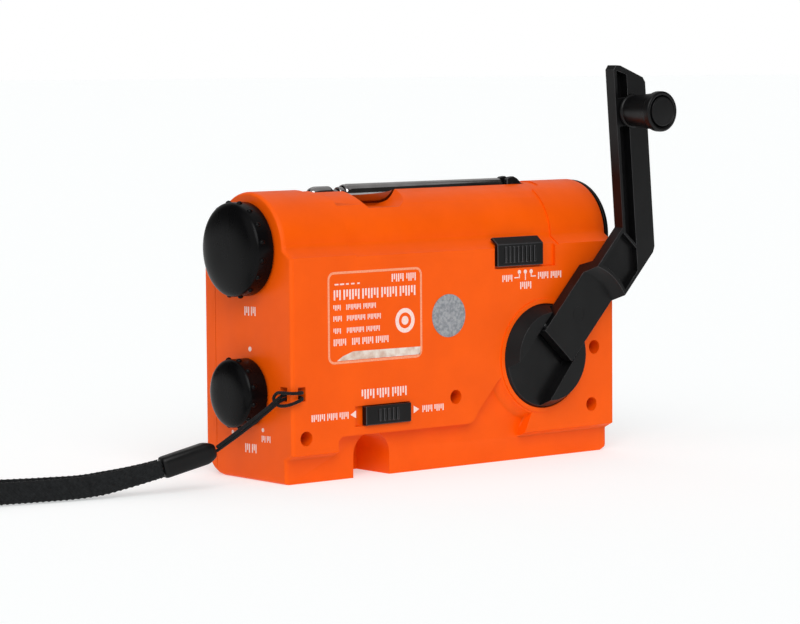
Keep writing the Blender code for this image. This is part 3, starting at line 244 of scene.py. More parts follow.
def metal(name, dark, light, rough_low, rough_high, stretch):
    """Metal with fine drawn or turned lines along the axis that is stretched least."""
    made = principled(name, light, rough_high, metallic=1.0)
    lines = pattern(made, "Noise", 0.5, stretch, 4).outputs["Fac"]
    drive(made, pattern(made, "Noise", 8).outputs["Fac"], "Base Color", dark, light)
    drive(made, lines, "Roughness", rough_low, rough_high)
    bump(made, lines, 0.001)
    return made


def speckled(name, dark, light, size, roughness):
    """A printed or foil surface with spots of about size millimetres."""
    made = principled(name, light, roughness)
    spots = pattern(made, "Noise", size, detail=6)
    drive(made, spots.outputs["Fac"], "Base Color", dark, light, 0.38, 0.62)
    bump(made, spots.outputs["Fac"], 0.004)
    return made


def yarn(name, dark, light):
    """Nylon yarn: fibres finer than the yarn itself, and a faint sheen."""
    made = principled(name, light, 0.72, specular=0.15)
    made.node_tree.nodes["Principled BSDF"].inputs["Sheen Weight"].default_value = 0.08
    fibres = pattern(made, "Noise", 0.09, (1, 0.5, 1), 2).outputs["Fac"]
    drive(made, pattern(made, "Noise", 1.4).outputs["Fac"], "Base Color", dark, light)
    bump(made, fibres, 0.03)
    return made


def clear(name, colour, roughness):
    """Thin clear plastic: mostly seen through, with a gloss of its own."""
    made = principled(name, colour, roughness)
    made.node_tree.nodes["Principled BSDF"].inputs["Alpha"].default_value = 0.16
    made.node_tree.nodes["Principled BSDF"].inputs["IOR"].default_value = 1.49
    drive(made, pattern(made, "Noise", 6).outputs["Fac"], "Roughness", roughness, roughness + 0.03)
    return made


def circuit_board(name):
    """Green solder mask over a net of copper tracks."""
    made = principled(name, (0.02, 0.13, 0.05), 0.4)
    tracks = pattern(made, "Voronoi", 3.2)
    tracks.feature = "DISTANCE_TO_EDGE"
    drive(made, tracks.outputs["Distance"], "Base Color", (0.05, 0.26, 0.09), (0.012, 0.10, 0.035), 0.06, 0.1)
    bump(made, tracks.outputs["Distance"], 0.02)
    return made


ORANGE = (0.86, 0.094, 0.0), (0.93, 0.106, 0.0)
BLACK = (0.0028, 0.0028, 0.003), (0.0045, 0.0045, 0.0048)
DEEP_BLACK = (0.0016, 0.0016, 0.0018), (0.0026, 0.0026, 0.003)
RUBBER = (0.006, 0.006, 0.006), (0.010, 0.010, 0.010)
CHROME = (0.30, 0.29, 0.29), (0.40, 0.39, 0.39)
# paler colours for the rounded edges of the moulded parts: a painted highlight
EDGE_HIGHLIGHT_ORANGE = (1.0, 0.20, 0.02), (1.0, 0.27, 0.05)
EDGE_HIGHLIGHT_BLACK = (0.030, 0.030, 0.032), (0.055, 0.055, 0.058)

LOOKS = {
    "orange_shell": moulded("orange_abs", *ORANGE, 0.36, 0.46, specular=0.16),
    "black_plastic": moulded("black_abs", *BLACK, 0.3, 0.42, specular=0.22),
    "knob_black": moulded("knob_black", *DEEP_BLACK, 0.24, 0.32, specular=0.1),
    "black_rubber": moulded("black_rubber", *RUBBER, 0.65, 0.8, 0.3, 0.01, 0.2),
    "antenna_chrome": metal("antenna_chrome", *CHROME, 0.07, 0.13, (0.05, 1, 1)),
    "plated_steel": metal("plated_steel", (0.40, 0.40, 0.41), (0.52, 0.52, 0.53), 0.24, 0.4, (1, 0.1, 1)),
    "rotor_brass": metal("rotor_brass", (0.62, 0.42, 0.16), (0.72, 0.52, 0.24), 0.2, 0.34, (1, 0.1, 1)),
    "white_acetal": moulded("white_acetal", (0.70, 0.69, 0.64), (0.78, 0.77, 0.72), 0.35, 0.45),
    "clear_plastic": clear("clear_acrylic", (0.93, 0.95, 0.96), 0.02),
    "mirror_cup": metal("mirror_cup", (0.80, 0.80, 0.80), (0.86, 0.86, 0.86), 0.05, 0.1, (1, 1, 1)),
    "circuit_board": circuit_board("green_board"),
    "speaker_cone": moulded("paper_cone", (0.02, 0.02, 0.018), (0.035, 0.034, 0.031), 0.8, 0.95, 0.4, 0.03),
    "ferrite": moulded("ferrite", (0.03, 0.03, 0.033), (0.05, 0.05, 0.055), 0.5, 0.65),
    "cell_sleeve": moulded("cell_sleeve", (0.04, 0.11, 0.28), (0.06, 0.15, 0.34), 0.22, 0.3, 0.6, 0.003),
    "grey_foil": speckled("grey_foil", (0.20, 0.215, 0.235), (0.34, 0.35, 0.365), 0.9, 0.55),
    "red_pointer": moulded("red_acetal", (0.60, 0.03, 0.015), (0.70, 0.04, 0.02), 0.35, 0.45),
    "black_webbing": yarn("braided_nylon", (0.004, 0.0045, 0.005), (0.011, 0.012, 0.013)),
}
EDGE_LOOKS = {  # the rounded edges of the moulded parts, in a paler, glossier colour: a painted highlight along each edge
    "orange_shell": moulded("orange_edge_highlight", *EDGE_HIGHLIGHT_ORANGE, 0.26, 0.34, specular=0.3),
    "black_plastic": moulded("black_edge_highlight", *EDGE_HIGHLIGHT_BLACK, 0.2, 0.3, specular=0.5),
    "black_rubber": LOOKS["black_rubber"],
}
PRINT_WHITE = speckled("white_ink", (0.90, 0.62, 0.55), (0.96, 0.74, 0.68), 0.5, 0.6)
PRINT_PALE = speckled("pale_ink", (0.86, 0.27, 0.13), (0.95, 0.36, 0.19), 0.5, 0.6)
PRINT_DARK = speckled("dark_ink", (0.015, 0.015, 0.018), (0.035, 0.035, 0.04), 0.5, 0.6)
WORN_LABEL = speckled("worn_label", (0.60, 0.42, 0.33), (0.78, 0.70, 0.62), 3, 0.7)


# ---------------------------------------------------------------- meshes, drawn in millimetres
def at(axis, along, a, b):
    """A point at a place along an axis; a and b are the two other coordinates, in X, Y, Z order."""
    if axis == "X":
        return Vector((along, a, b))
    if axis == "Y":
        return Vector((a, along, b))
    return Vector((a, b, along))


def show(name, bm, look, scale=MM, crease=35):
    """The drawn mesh as an object, its vertices in the frame's metres."""
    bmesh.ops.scale(bm, vec=(scale, scale, scale), verts=bm.verts)
    mesh = bpy.data.meshes.new(name)
    bm.to_mesh(mesh)
    bm.free()
    mesh.materials.append(look)
    mesh.shade_smooth()
    mesh.set_sharp_from_angle(angle=radians(crease))
    ob = bpy.data.objects.new(name, mesh)
    bpy.context.scene.collection.objects.link(ob)
    return ob


def place(ob, body, slot, *nodes):
    """The piece rides on a body and stands for the nodes named, which it hides; slot is not used."""
    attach(ob, body)
    if nodes:
        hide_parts(*nodes)
    return ob


def prism(outline, axis, low, high):
    bm = bmesh.new()
    first = [bm.verts.new(at(axis, low, a, b)) for a, b in outline]
    last = [bm.verts.new(at(axis, high, a, b)) for a, b in outline]
    bm.faces.new(first)
    bm.faces.new(last)
    for i in range(len(outline)):
        j = (i + 1) % len(outline)
        bm.faces.new((first[i], first[j], last[j], last[i]))
    bmesh.ops.recalc_face_normals(bm, faces=bm.faces)
    return bm


def box_outline(a0, a1, b0, b1):
    return [(a0, b0), (a1, b0), (a1, b1), (a0, b1)]


def round_outline(x0, x1, z0, z1, radius):
    """A rectangle with round corners."""
    steps = 6
    found = []
    for cx, cz, start in ((x1 - radius, z1 - radius, 0), (x0 + radius, z1 - radius, 90),
                          (x0 + radius, z0 + radius, 180), (x1 - radius, z0 + radius, 270)):
        for k in range(steps + 1):
            angle = radians(start + 90 * k / steps)
            found.append((cx + radius * cos(angle), cz + radius * sin(angle)))
    return found


def band(outer, inner, axis, low, high):
    """The strip between two outlines of the same number of points."""
    bm = bmesh.new()
    rings = []
    for outline, level in ((outer, low), (outer, high), (inner, high), (inner, low)):
        rings.append([bm.verts.new(at(axis, level, a, b)) for a, b in outline])
    for one, two in zip(rings, rings[1:] + rings[:1]):
        for i in range(len(one)):
            j = (i + 1) % len(one)
            bm.faces.new((one[i], one[j], two[j], two[i]))
    bmesh.ops.recalc_face_normals(bm, faces=bm.faces)
    return bm


def circle(a, b, radius, steps):
    angles = [2 * pi * k / steps for k in range(steps)]
    return [(a + radius * cos(angle), b + radius * sin(angle)) for angle in angles]


def eased(profile, radius, ring=False):
    """The profile with its corners rounded, each by the radius or by what its shorter side allows."""
    steps = 4
    found = []
    count = len(profile)
    for i, corner in enumerate(profile):
        if not ring and i in (0, count - 1):
            found.append(corner)
            continue
        c = Vector(corner)
        before = Vector(profile[i - 1]) - c
        after = Vector(profile[(i + 1) % count]) - c
        reach = min(radius, before.length * 0.48, after.length * 0.48)
        p, q = c + before.normalized() * reach, c + after.normalized() * reach
        for k in range(steps + 1):
            t = k / steps
            found.append(tuple((1 - t) ** 2 * p + 2 * t * (1 - t) * c + t * t * q))
    return found


def turned(profile, axis, centre, segments=96, ring=False):
    """A profile of (along, radius) points turned about the axis; it starts and ends on it, or is a ring."""
    bm = bmesh.new()
    rows = []
    for along, radius in profile:
        if radius < 1e-6:
            rows.append([bm.verts.new(at(axis, along, *centre))])
            continue
        row = []
        for i in range(segments):
            angle = 2 * pi * i / segments
            a = centre[0] + radius * cos(angle)
            b = centre[1] + radius * sin(angle)
            row.append(bm.verts.new(at(axis, along, a, b)))
        rows.append(row)
    pairs = list(zip(rows, rows[1:]))
    if ring:
        pairs.append((rows[-1], rows[0]))
    for one, two in pairs:
        for i in range(segments):
            j = (i + 1) % segments
            corners = [one[i % len(one)], one[j % len(one)], two[j % len(two)], two[i % len(two)]]
            face = [v for k, v in enumerate(corners) if v not in corners[:k]]
            if len(face) > 2:
                bm.faces.new(face)
    bmesh.ops.recalc_face_normals(bm, faces=bm.faces)
    return bm


def blob(centre, radii):
    """A small ellipsoid."""
    bm = bmesh.new()
    bmesh.ops.create_icosphere(bm, subdivisions=2, radius=1.0)
    matrix = Matrix.Translation(centre) @ Matrix.Diagonal((*radii, 1))
    bmesh.ops.transform(bm, verts=bm.verts, matrix=matrix)
    return bm


def merged(parts):
    """Several drawn meshes as one."""
    whole = bmesh.new()
    for bm in parts:
        mesh = bpy.data.meshes.new("part")
        bm.to_mesh(mesh)
        bm.free()
        whole.from_mesh(mesh)
        bpy.data.meshes.remove(mesh)
    return whole


def combined(ob, bm, operation):
    """A Boolean with the drawn mesh, applied at once."""
    tool = show("tool", bm, ob.data.materials[0])
    modifier = ob.modifiers.new("combine", "BOOLEAN")
    modifier.operation = operation
    modifier.object = tool
    graph = bpy.context.evaluated_depsgraph_get()
    mesh = bpy.data.meshes.new_from_object(ob.evaluated_get(graph))
    ob.modifiers.clear()
    ob.data = mesh
    mesh.set_sharp_from_angle(angle=radians(35))
    bpy.data.objects.remove(tool)
    return ob


def centre_of(node, axis):
    """A node's middle in millimetres, as its two coordinates across the axis."""
    low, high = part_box(node)
    middle = [(a + b) / 2 / MM for a, b in zip(low, high)]
    del middle["XYZ".index(axis)]
    return middle


def ends_of(node, axis):
    """Where a node starts and ends along the axis, in millimetres."""
    low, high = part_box(node)
    k = "XYZ".index(axis)
    return low[k] / MM, high[k] / MM


SAME_POINT = 0.002 * MM  # corners nearer than this are one corner
SAME_PLANE = radians(0.4)  # faces nearer than this to one plane are one face
HIGHLIGHT_EDGE_ANGLE = radians(28)  # an outer edge sharper than this is rounded, and its rounding takes the painted edge highlight


def finer(node, name, body, slot, width=0.3):
    """The node's own solid as a visible piece, its outer edges rounded over width millimetres and painted
    with a paler highlight colour.
    """
    bm = bmesh.new()
    bm.from_mesh(NODES[node].data)
    bmesh.ops.remove_doubles(bm, verts=bm.verts, dist=SAME_POINT)
    bmesh.ops.dissolve_limit(bm, angle_limit=SAME_PLANE, verts=bm.verts, edges=bm.edges)
    bmesh.ops.recalc_face_normals(bm, faces=bm.faces)
    weight = bm.edges.layers.float.new("bevel_weight_edge")
    for edge in bm.edges:
        if edge.is_manifold and edge.is_convex and edge.calc_face_angle() > HIGHLIGHT_EDGE_ANGLE:
            edge[weight] = 1.0
    ob = show(name, bm, LOOKS[slot], scale=1, crease=26)
    ob.data.materials.append(EDGE_LOOKS[slot])
    bevel = ob.modifiers.new("edges", "BEVEL")
    bevel.width = width * MM
    bevel.segments = 3
    bevel.limit_method = "WEIGHT"
    # the rounded edges take the second material, whose paler colour is a painted highlight
    bevel.material = 1
    bevel.miter_outer = "MITER_ARC"
    even = ob.modifiers.new("normals", "WEIGHTED_NORMAL")
    even.weight = 100
    even.keep_sharp = True
    return place(ob, body, slot, node)


# ---------------------------------------------------------------- wrist lanyard
def braided(name, path, half_w, half_t, per_hand, turn_length, yarn_w, yarn_t, level, sides=6, narrow=None):
    """A plain braid: per_hand yarns wind each way around a flattened core and cross over and under in turn.

    half_w and half_t are the half width and half thickness of the layer that the yarns' middles lie on,
    in metres, as the path is. level keeps the width upright; narrow(reach) scales it along the path.
    """
    last = len(path) - 1
    tangents = [(path[min(i + 1, last)] - path[max(i - 1, 0)]).normalized() for i in range(last + 1)]
    upright = Vector((0, 0, 1))
    ups = []
    for tangent in tangents:
        reference = upright if level or not ups else ups[-1]
        ups.append((reference - tangent * reference.dot(tangent)).normalized())
    reach = [0.0]
    for p, q in zip(path, path[1:]):
        reach.append(reach[-1] + (q - p).length)

    def spot(i, turn, lift):
        """The layer's point at a fraction of a turn, and its outward direction."""
        side = tangents[i].cross(ups[i])
        flat = (half_w - half_t) * (narrow(reach[i]) if narrow else 1.0)
        around = pi * half_t
        d = (turn % 1.0) * (4 * flat + 2 * around)
        if d < 2 * flat:
            middle, out = ups[i] * (d - flat), side
        elif d < 2 * flat + around:
            angle = (d - 2 * flat) / half_t
            middle, out = ups[i] * flat, side * cos(angle) + ups[i] * sin(angle)
        elif d < 4 * flat + around:
            middle, out = ups[i] * (3 * flat + around - d), -side
        else:
            angle = (d - 4 * flat - around) / half_t
            middle, out = -ups[i] * flat, -side * cos(angle) - ups[i] * sin(angle)
        return path[i] + middle + out * (half_t + lift), out

    bm = bmesh.new()

    def loft(rows):
        verts = [[bm.verts.new(p) for p in row] for row in rows]
        for one, two in zip(verts, verts[1:]):
            for k in range(len(one)):
                j = (k + 1) % len(one)
                bm.faces.new((one[k], one[j], two[j], two[k]))
        bm.faces.new(list(reversed(verts[0])))
        bm.faces.new(verts[-1])

    core_steps = list(range(0, last, 3)) + [last]
    loft([[spot(i, k / 20, -0.55 * yarn_t)[0] for k in range(20)] for i in core_steps])
    for hand in (1, -1):
        for y in range(per_hand):
            middles, outs = [], []
            for i in range(last + 1):
                wave = cos(2 * pi * per_hand * reach[i] / turn_length)
                turn = y / per_hand + hand * reach[i] / turn_length
                middle, out = spot(i, turn, hand * 0.45 * yarn_t * wave)
                middles.append(middle)
                outs.append(out)
            rows = []
            for i in range(last + 1):
                along = middles[min(i + 1, last)] - middles[max(i - 1, 0)]
                across = outs[i].cross(along).normalized()
                row = []
                for k in range(sides):
                    angle = 2 * pi * k / sides
                    wide = across * cos(angle) * yarn_w / 2
                    thick = outs[i] * sin(angle) * yarn_t / 2
                    row.append(middles[i] + wide + thick)
                rows.append(row)
            loft(rows)
    bmesh.ops.recalc_face_normals(bm, faces=bm.faces)
    return show(name, bm, LOOKS["black_webbing"], scale=1, crease=70)


def strap_ferrule():
    """The moulded sleeve that joins the thread to the strap: a rounded bar, tapered at the thread's end."""
    span = (FERRULE_TO - FERRULE_FROM).length
    along = (FERRULE_TO - FERRULE_FROM).normalized()
    side = Vector((0, 0, 1)).cross(along).normalized()
    up = along.cross(side)
    half_w, half_t = mm(3.6, 2.8)
    stations = [(0.0, 0.5), (0.015, 0.62), (0.05, 0.74), (0.1, 0.86), (0.15, 0.95), (0.2, 1.0), (0.94, 1.0),
                (0.975, 0.97), (0.993, 0.9), (1.0, 0.8)]
    bm = bmesh.new()
    rows = []
    for share, scale in stations:
        row = []
        for k in range(48):
            angle = 2 * pi * k / 48
            c, s = cos(angle), sin(angle)
            squared = (c ** 4 + s ** 4) ** -0.25
            offset = up * c * squared * half_w * scale + side * s * squared * half_t * scale
            row.append(bm.verts.new(FERRULE_FROM + along * span * share + offset))
        rows.append(row)
    for one, two in zip(rows, rows[1:]):
        for k in range(48):
            j = (k + 1) % 48
            bm.faces.new((one[k], one[j], two[j], two[k]))
    bm.faces.new(rows[0])
    bm.faces.new(rows[-1])
    bmesh.ops.recalc_face_normals(bm, faces=bm.faces)
    return show("ferrule", bm, LOOKS["black_plastic"], scale=1, crease=50)


def lanyard():
    sleeve = place(strap_ferrule(), "case", "black_plastic", "strap_ferrule")
    thread_path = smooth_route(THREAD_ROUTE, mm(0.16))
    thread = braided("lanyard_cord", thread_path, mm(0.4), mm(0.4), 4, mm(3.2), mm(0.62), mm(0.24), False, 4)
    place(thread, "case", "black_webbing", "lanyard_thread")

    strap_path = smooth_route(STRAP_ROUTE, mm(0.5))
    total = length_of(strap_path)

    def narrow(reach):
        """The strap is gathered where it enters the sleeve."""
        near = min(reach, total - reach)
        return 0.74 + 0.26 * min(1.0, near / mm(20))

    strap = braided("strap_braid", strap_path, mm(3.25), mm(0.5), 8, mm(16), mm(1.35), mm(0.46), True,
                    narrow=narrow)
    place(strap, "case", "black_webbing", "wrist_strap")


lanyard()


# ---------------------------------------------------------------- case
finer("rear_case", "rear_shell", "case", "orange_shell", 0.4)
finer("front_case", "front_shell", "case", "orange_shell", 0.4)
finer("battery_door", "battery_hatch", "door", "orange_shell", 0.25)
finer("port_cover", "port_flap_skin", "port_flap", "black_rubber", 0.3)


def case_screws():
    """Cross-head screws, deep in their counterbores."""
    for number in range(1, 5):
        node = f"case_screw_{number}"
        x, z = centre_of(node, "Y")
        head = ends_of(node, "Y")[1]
        profile = [(head, 0), (head, 1.7), (head - 0.4, 2.1), (head - 1.1, 2.1), (head - 1.1, 1.1),
                   (head - 24.4, 1.1), (head - 25.4, 0)]
        shape = turned(eased(profile, 0.2), "Y", (x, z), 48)
        screw = show(f"cross_head_screw_{number}", shape, LOOKS["plated_steel"])
        slots = []
        for half_x, half_z in ((1.2, 0.28), (0.28, 1.2)):
            outline = box_outline(x - half_x, x + half_x, z - half_z, z + half_z)
            slots.append(prism(outline, "Y", head - 0.9, head + 1))
        for slot in slots:
            combined(screw, slot, "DIFFERENCE")
        place(screw, "case", "plated_steel", node)


case_screws()


# ---------------------------------------------------------------- crank
finer("crank_hub", "hub_casting", "crank", "black_plastic", 0.4)
finer("crank_arm", "arm_casting", "arm", "black_plastic", 0.35)


def crank_grip():
    """The finger knob: a flange at its foot, a slight taper, and a thick rounded end around a flat disc."""
    centre = centre_of("finger_knob", "Y")
    base, end = ends_of("finger_knob", "Y")
    low, high = ends_of("finger_knob", "X")
    full = (high - low) / 2
    profile = [
        (base, 1.9),
        (base, 5.9),
        (base + 1.0, 5.9),
        (base + 1.3, 5.4),
        (base + 1.8, 5.4),
        (end - 3.4, 6.5),
        (end - 2.6, full),
        (end, full),
        (end, 5.6),
        (end - 1.4, 5.5),
        (end - 1.4, 1.9),
    ]
    shape = turned(eased(profile, 0.7, ring=True), "Y", centre, ring=True)
    grip = show("grip_barrel", shape, LOOKS["black_plastic"])
    place(grip, "grip", "black_plastic", "finger_knob")
    low, high = ends_of("finger_knob_pin", "Y")
    pin = [(low, 0), (low, 1.6), (end - 1.1, 1.6), (end - 1.1, 5.2), (high - 0.15, 5.2), (high - 0.15, 4.2),
           (high, 0)]
    disc = show("grip_pin", turned(eased(pin, 0.3), "Y", centre), LOOKS["black_plastic"])
    place(disc, "arm", "black_plastic", "finger_knob_pin")


crank_grip()


def crank_marks():
    """A mould ring on the arm's root, and a pale mark low on the hub's floor."""
    root = BACK + 6.1
    ring = band(circle(-50.0, 50.8, 2.6, 40), circle(-50.0, 50.8, 2.4, 40), "Y", root + 0.01, root + 0.05)
    place(show("mould_ring", ring, LOOKS["black_plastic"]), "arm", "black_plastic")
    floor = BACK + 1.2
    pip = prism(circle(-40.8, 22.6, 0.3, 16), "Y", floor + 0.01, floor + 0.08)
    place(show("hub_pip", pip, PRINT_PALE), "crank", "grey_foil")


# ---------------------------------------------------------------- knobs
def knob(node, name, body, nubs):
    """A domed knob with small grip ribs around its rim."""
    y, z = centre_of(node, "X")
    base, top = ends_of(node, "X")
    low, high = ends_of(node, "Y")
    radius = (high - low) / 2 - 0.45
    dome = 2.2 if radius > 14 else 1.8
    rim = top - dome - 0.3
    skirt = [(base, 0), (base, radius - 0.4), (base + 0.4, radius)]
    for i in range(17):
        angle = i * pi / 32
        reach = cos(angle) ** 0.55 if i < 16 else 0
        skirt.append((rim - 0.6 + (top - rim + 0.6) * sin(angle), radius * reach))
    cap = show(name, turned(skirt, "X", (y, z), 128), LOOKS["knob_black"], crease=50)
    ribs = []
    for i in range(nubs):
        angle = 2 * pi * (i + 0.5) / nubs
        centre = (rim - 1.6, y + (radius - 0.15) * cos(angle), z + (radius - 0.15) * sin(angle))
        ribs.append(blob(centre, (1.15, 0.95, 0.95)))
    combined(cap, merged(ribs), "UNION")
    bore = [(base - 1, 0), (base - 1, 3.0), (base + 4, 3.0), (base + 4, 0)]
    combined(cap, turned(bore, "X", (y, z), 48), "DIFFERENCE")
    place(cap, body, "black_plastic", node)


knob("tuning_knob", "tuning_dial", "tuner", 16)
knob("volume_knob", "volume_dial", "volume", 12)


# ---------------------------------------------------------------- switches
finer("flashlight_switch_cap", "flashlight_slider_cap", "flashlight_slider", "black_plastic", 0.2)
finer("power_switch_cap", "power_slider_cap", "power_slider", "black_plastic", 0.2)
finer("band_switch_cap", "band_slider_cap", "band_slider", "black_plastic", 0.2)


# ---------------------------------------------------------------- flashlight
def flashlight():
    centre = centre_of("flashlight_bezel", "X")
    face = -END
    bezel = [
        (face - 0.3, 16.9),
        (face - 0.3, 19.2),
        (face - 1.5, 19.2),
        (face - 2.0, 18.6),
        (face - 2.0, 16.6),
        (face - 0.9, 15.4),
        (face + 5.6, 15.4),
        (face + 5.6, 16.9),
    ]
    shape = turned(eased(bezel, 0.4, ring=True), "X", centre, 128, ring=True)
    ring = show("lamp_bezel", shape, LOOKS["black_plastic"])
    place(ring, "case", "black_plastic", "flashlight_bezel")

    low, high = ends_of("flashlight_lens", "X")
    disc = [(low, 0), (low, 15.1), (high, 15.1), (high, 0)]
    lens = show("lamp_lens", turned(eased(disc, 0.3), "X", centre, 128), LOOKS["clear_plastic"])
    place(lens, "case", "clear_plastic", "flashlight_lens")

    inner, outer = [], []
    for k in range(13):
        share = k / 12
        inner.append((face + 2.0 + 12.0 * share ** 2, 14.2 - 10.4 * share))
        outer.append((face + 2.6 + 12.0 * share ** 2, 15.1 - 10.4 * share))
    cup = [(face + 2.0, 15.0)] + inner + list(reversed(outer))
    mirror = show("lamp_reflector", turned(cup, "X", centre, 128, ring=True), LOOKS["mirror_cup"], crease=60)
    place(mirror, "case", "mirror_cup", "flashlight_reflector")

    disc = [(face + 15.3, 0), (face + 15.3, 12), (face + 15.6, 12), (face + 15.6, 0)]
    board = show("lamp_board", turned(disc, "X", centre, 64), LOOKS["circuit_board"])
    place(board, "case", "circuit_board", "flashlight_led_board")
    dome = [(face + 15.25, 0), (face + 15.25, 2.8), (face + 14.2, 2.8), (face + 14.2, 2.45),
            (face + 9.6, 2.45)]
    for i in range(1, 9):
        angle = i * pi / 16
        dome.append((face + 9.6 - 2.4 * sin(angle), 2.45 * cos(angle) if i < 8 else 0))
    lamp = show("lamp_led", turned(dome, "X", centre, 48), LOOKS["white_acetal"], crease=50)
    place(lamp, "case", "white_acetal")


flashlight()


# ---------------------------------------------------------------- antenna
TONGUE = 5.5  # the tongue for the hinge pin comes before the first section's tube


def antenna():
    """Four chromed sections, each rolled in at its mouth around the next, with a button tip."""
    centre = centre_of("antenna_section_4", "X")
    chrome = LOOKS["antenna_chrome"]
    start = ends_of("antenna_section_1", "X")[0] + TONGUE
    bodies = ("antenna_base", "antenna_second", "antenna_third")
    sizes = ((2.55, 3.2), (1.75, 2.3), (1.0, 1.45))
    for number, body, (inner, outer) in zip((1, 2, 3), bodies, sizes):
        low, high = ends_of(f"antenna_section_{number}", "X")
        low = start if number == 1 else low
        mouth = 1.9 if number == 1 else 0.8
        wall = [(low, inner), (low, outer), (high - mouth, outer), (high - mouth * 0.5, outer - mouth * 0.13),
                (high - mouth * 0.4, outer - mouth * 0.05), (high, outer - mouth * 0.22), (high, inner)]
        shape = turned(eased(wall, 0.25, ring=True), "X", centre, 64, ring=True)
        tube = show(f"aerial_{number}", shape, chrome)
        if number > 1:
            place(tube, body, "antenna_chrome", f"antenna_section_{number}")
            continue
        y, z = centre
        plug = [(start, 0), (start, 2.9), (start + 2.5, 2.9), (start + 2.5, 0)]
        tongue = box_outline(start - TONGUE, start + 1.5, y - 1.2, y + 1.2)
        hinge = centre_of("antenna_pin", "Y")
        combined(tube, turned(plug, "X", centre, 48), "UNION")
        combined(tube, prism(tongue, "Z", z - 1.5, z + 1.5), "UNION")
        combined(tube, turned([(-4, 0), (-4, 1.0), (6, 1.0), (6, 0)], "Y", hinge, 32), "DIFFERENCE")
        place(tube, body, "antenna_chrome", "antenna_section_1")
    low, high = ends_of("antenna_section_4", "X")
    tip = [(low, 0), (low, 0.7), (high - 9.9, 0.7), (high - 9.9, 2.2), (high - 9.1, 2.7), (high - 2.9, 2.7),
           (high - 1.2, 2.2), (high - 0.3, 1.2), (high, 0)]
    rod = show("aerial_4", turned(eased(tip, 0.6), "X", centre, 64), chrome)
    place(rod, "antenna_fourth", "antenna_chrome", "antenna_section_4")
    finer("antenna_yoke", "aerial_yoke", "case", "black_plastic", 0.3)


antenna()


# ---------------------------------------------------------------- prints
INK = 0.02, 0.05  # the printed film's lower and upper level above the surface


def ink_levels(face):
    return face + INK[0], face + INK[1]


def strokes(axis, left, right, bottom, top):
    """A plain stand-in for a printed word: a row of upright strokes, every third one shorter."""
    low, high = ink_levels(BACK if axis == "Y" else END)
    height = top - bottom
    if height < 1:
        return [prism(box_outline(left, right, bottom, top), axis, low, high)]
    count = max(2, round((right - left) / (height * 0.36)))
    pitch = (right - left) / count
    found = []
    for i in range(count):
        start = left + i * pitch + 0.22 * pitch
        drop = 0.3 * height if i % 3 == 1 else 0
        found.append(prism(box_outline(start, start + 0.56 * pitch, bottom + drop, top), axis, low, high))
    return found


def back_prints():
    """The label and the switches' legends, with plain bars where there would be words."""
    low, high = ink_levels(BACK)
    outside = round_outline(16.6, 57.2, 39.5, 70.4, 2.6)
    inside = round_outline(17.4, 56.4, 40.3, 69.6, 1.8)
    place(show("label_frame", band(outside, inside, "Y", low, high), PRINT_PALE), "case", "grey_foil")

    marks = []
    rows = [  # top, bottom, and each word's ends
        (64.3, 60.9, ((54.9, 51.4), (50.8, 43.4), (42.8, 35.3), (34.6, 27.3), (26.6, 19.2))),
        (68.6, 65.9, ((30.0, 24.4), (23.6, 19.1))),
        (59.3, 57.5, ((55.0, 51.6), (49.5, 43.0), (42.2, 36.6))),
        (55.6, 53.8, ((55.0, 51.2), (49.3, 41.2), (40.4, 34.5))),
        (51.5, 49.7, ((55.0, 51.6), (49.3, 41.8), (41.0, 35.0))),
        (47.9, 45.6, ((55.0, 49.4), (47.2, 43.6), (42.8, 37.8), (37.0, 31.2))),
        (66.4, 65.9, ((54.2, 52.6), (52.0, 50.2), (49.4, 48.2), (47.2, 45.8), (44.6, 43.6))),
        (30.2, 27.0, ((43.4, 37.4), (36.8, 31.0), (30.2, 23.4))),
        (23.2, 20.9, ((64.6, 58.6), (58.0, 53.4), (52.8, 48.6))),
        (22.9, 20.6, ((16.9, 12.2), (11.6, 7.1))),
        (65.6, 63.3, ((-19.5, -24.4),)),
        (62.9, 60.4, ((-27.7, -33.2),)),
        (66.0, 63.6, ((-36.0, -41.2), (-42.0, -47.3))),
    ]
    for top, bottom, spans in rows:
        for right, left in spans:
            marks += strokes("Y", left, right, bottom, top)
    target = (24.1, 52.5)
    marks.append(band(circle(*target, 4.2, 40), circle(*target, 2.7, 40), "Y", low, high))
    outlines = [
        circle(*target, 1.5, 24),
        [(48.0, 22.1), (45.6, 23.4), (45.6, 20.8)],  # arrowheads beside the power switch
        [(20.6, 23.1), (20.6, 20.5), (18.2, 21.8)],
        circle(-27.5, 66.4, 0.75, 16),  # dots at the flashlight switch's three places, and their leader lines
        circle(-30.3, 66.4, 0.75, 16),
        circle(-33.0, 66.4, 0.75, 16),
        box_outline(-27.7, -27.3, 64.3, 65.9),
        box_outline(-27.2, -25.2, 64.3, 64.7),
        box_outline(-30.5, -30.1, 63.5, 65.6),
        box_outline(-33.2, -32.8, 64.5, 65.7),
        box_outline(-35.2, -33.3, 64.5, 64.9),
    ]
    marks += [prism(outline, "Y", low, high) for outline in outlines]
    place(show("back_legends", merged(marks), PRINT_WHITE), "case", "grey_foil")

    strip = [(17.6, 40.5), (17.4, 43.2), (46.5, 43.4), (51.0, 42.0), (53.5, 40.5)]
    place(show("label_strip", prism(strip, "Y", low, high), WORN_LABEL), "case", "grey_foil")


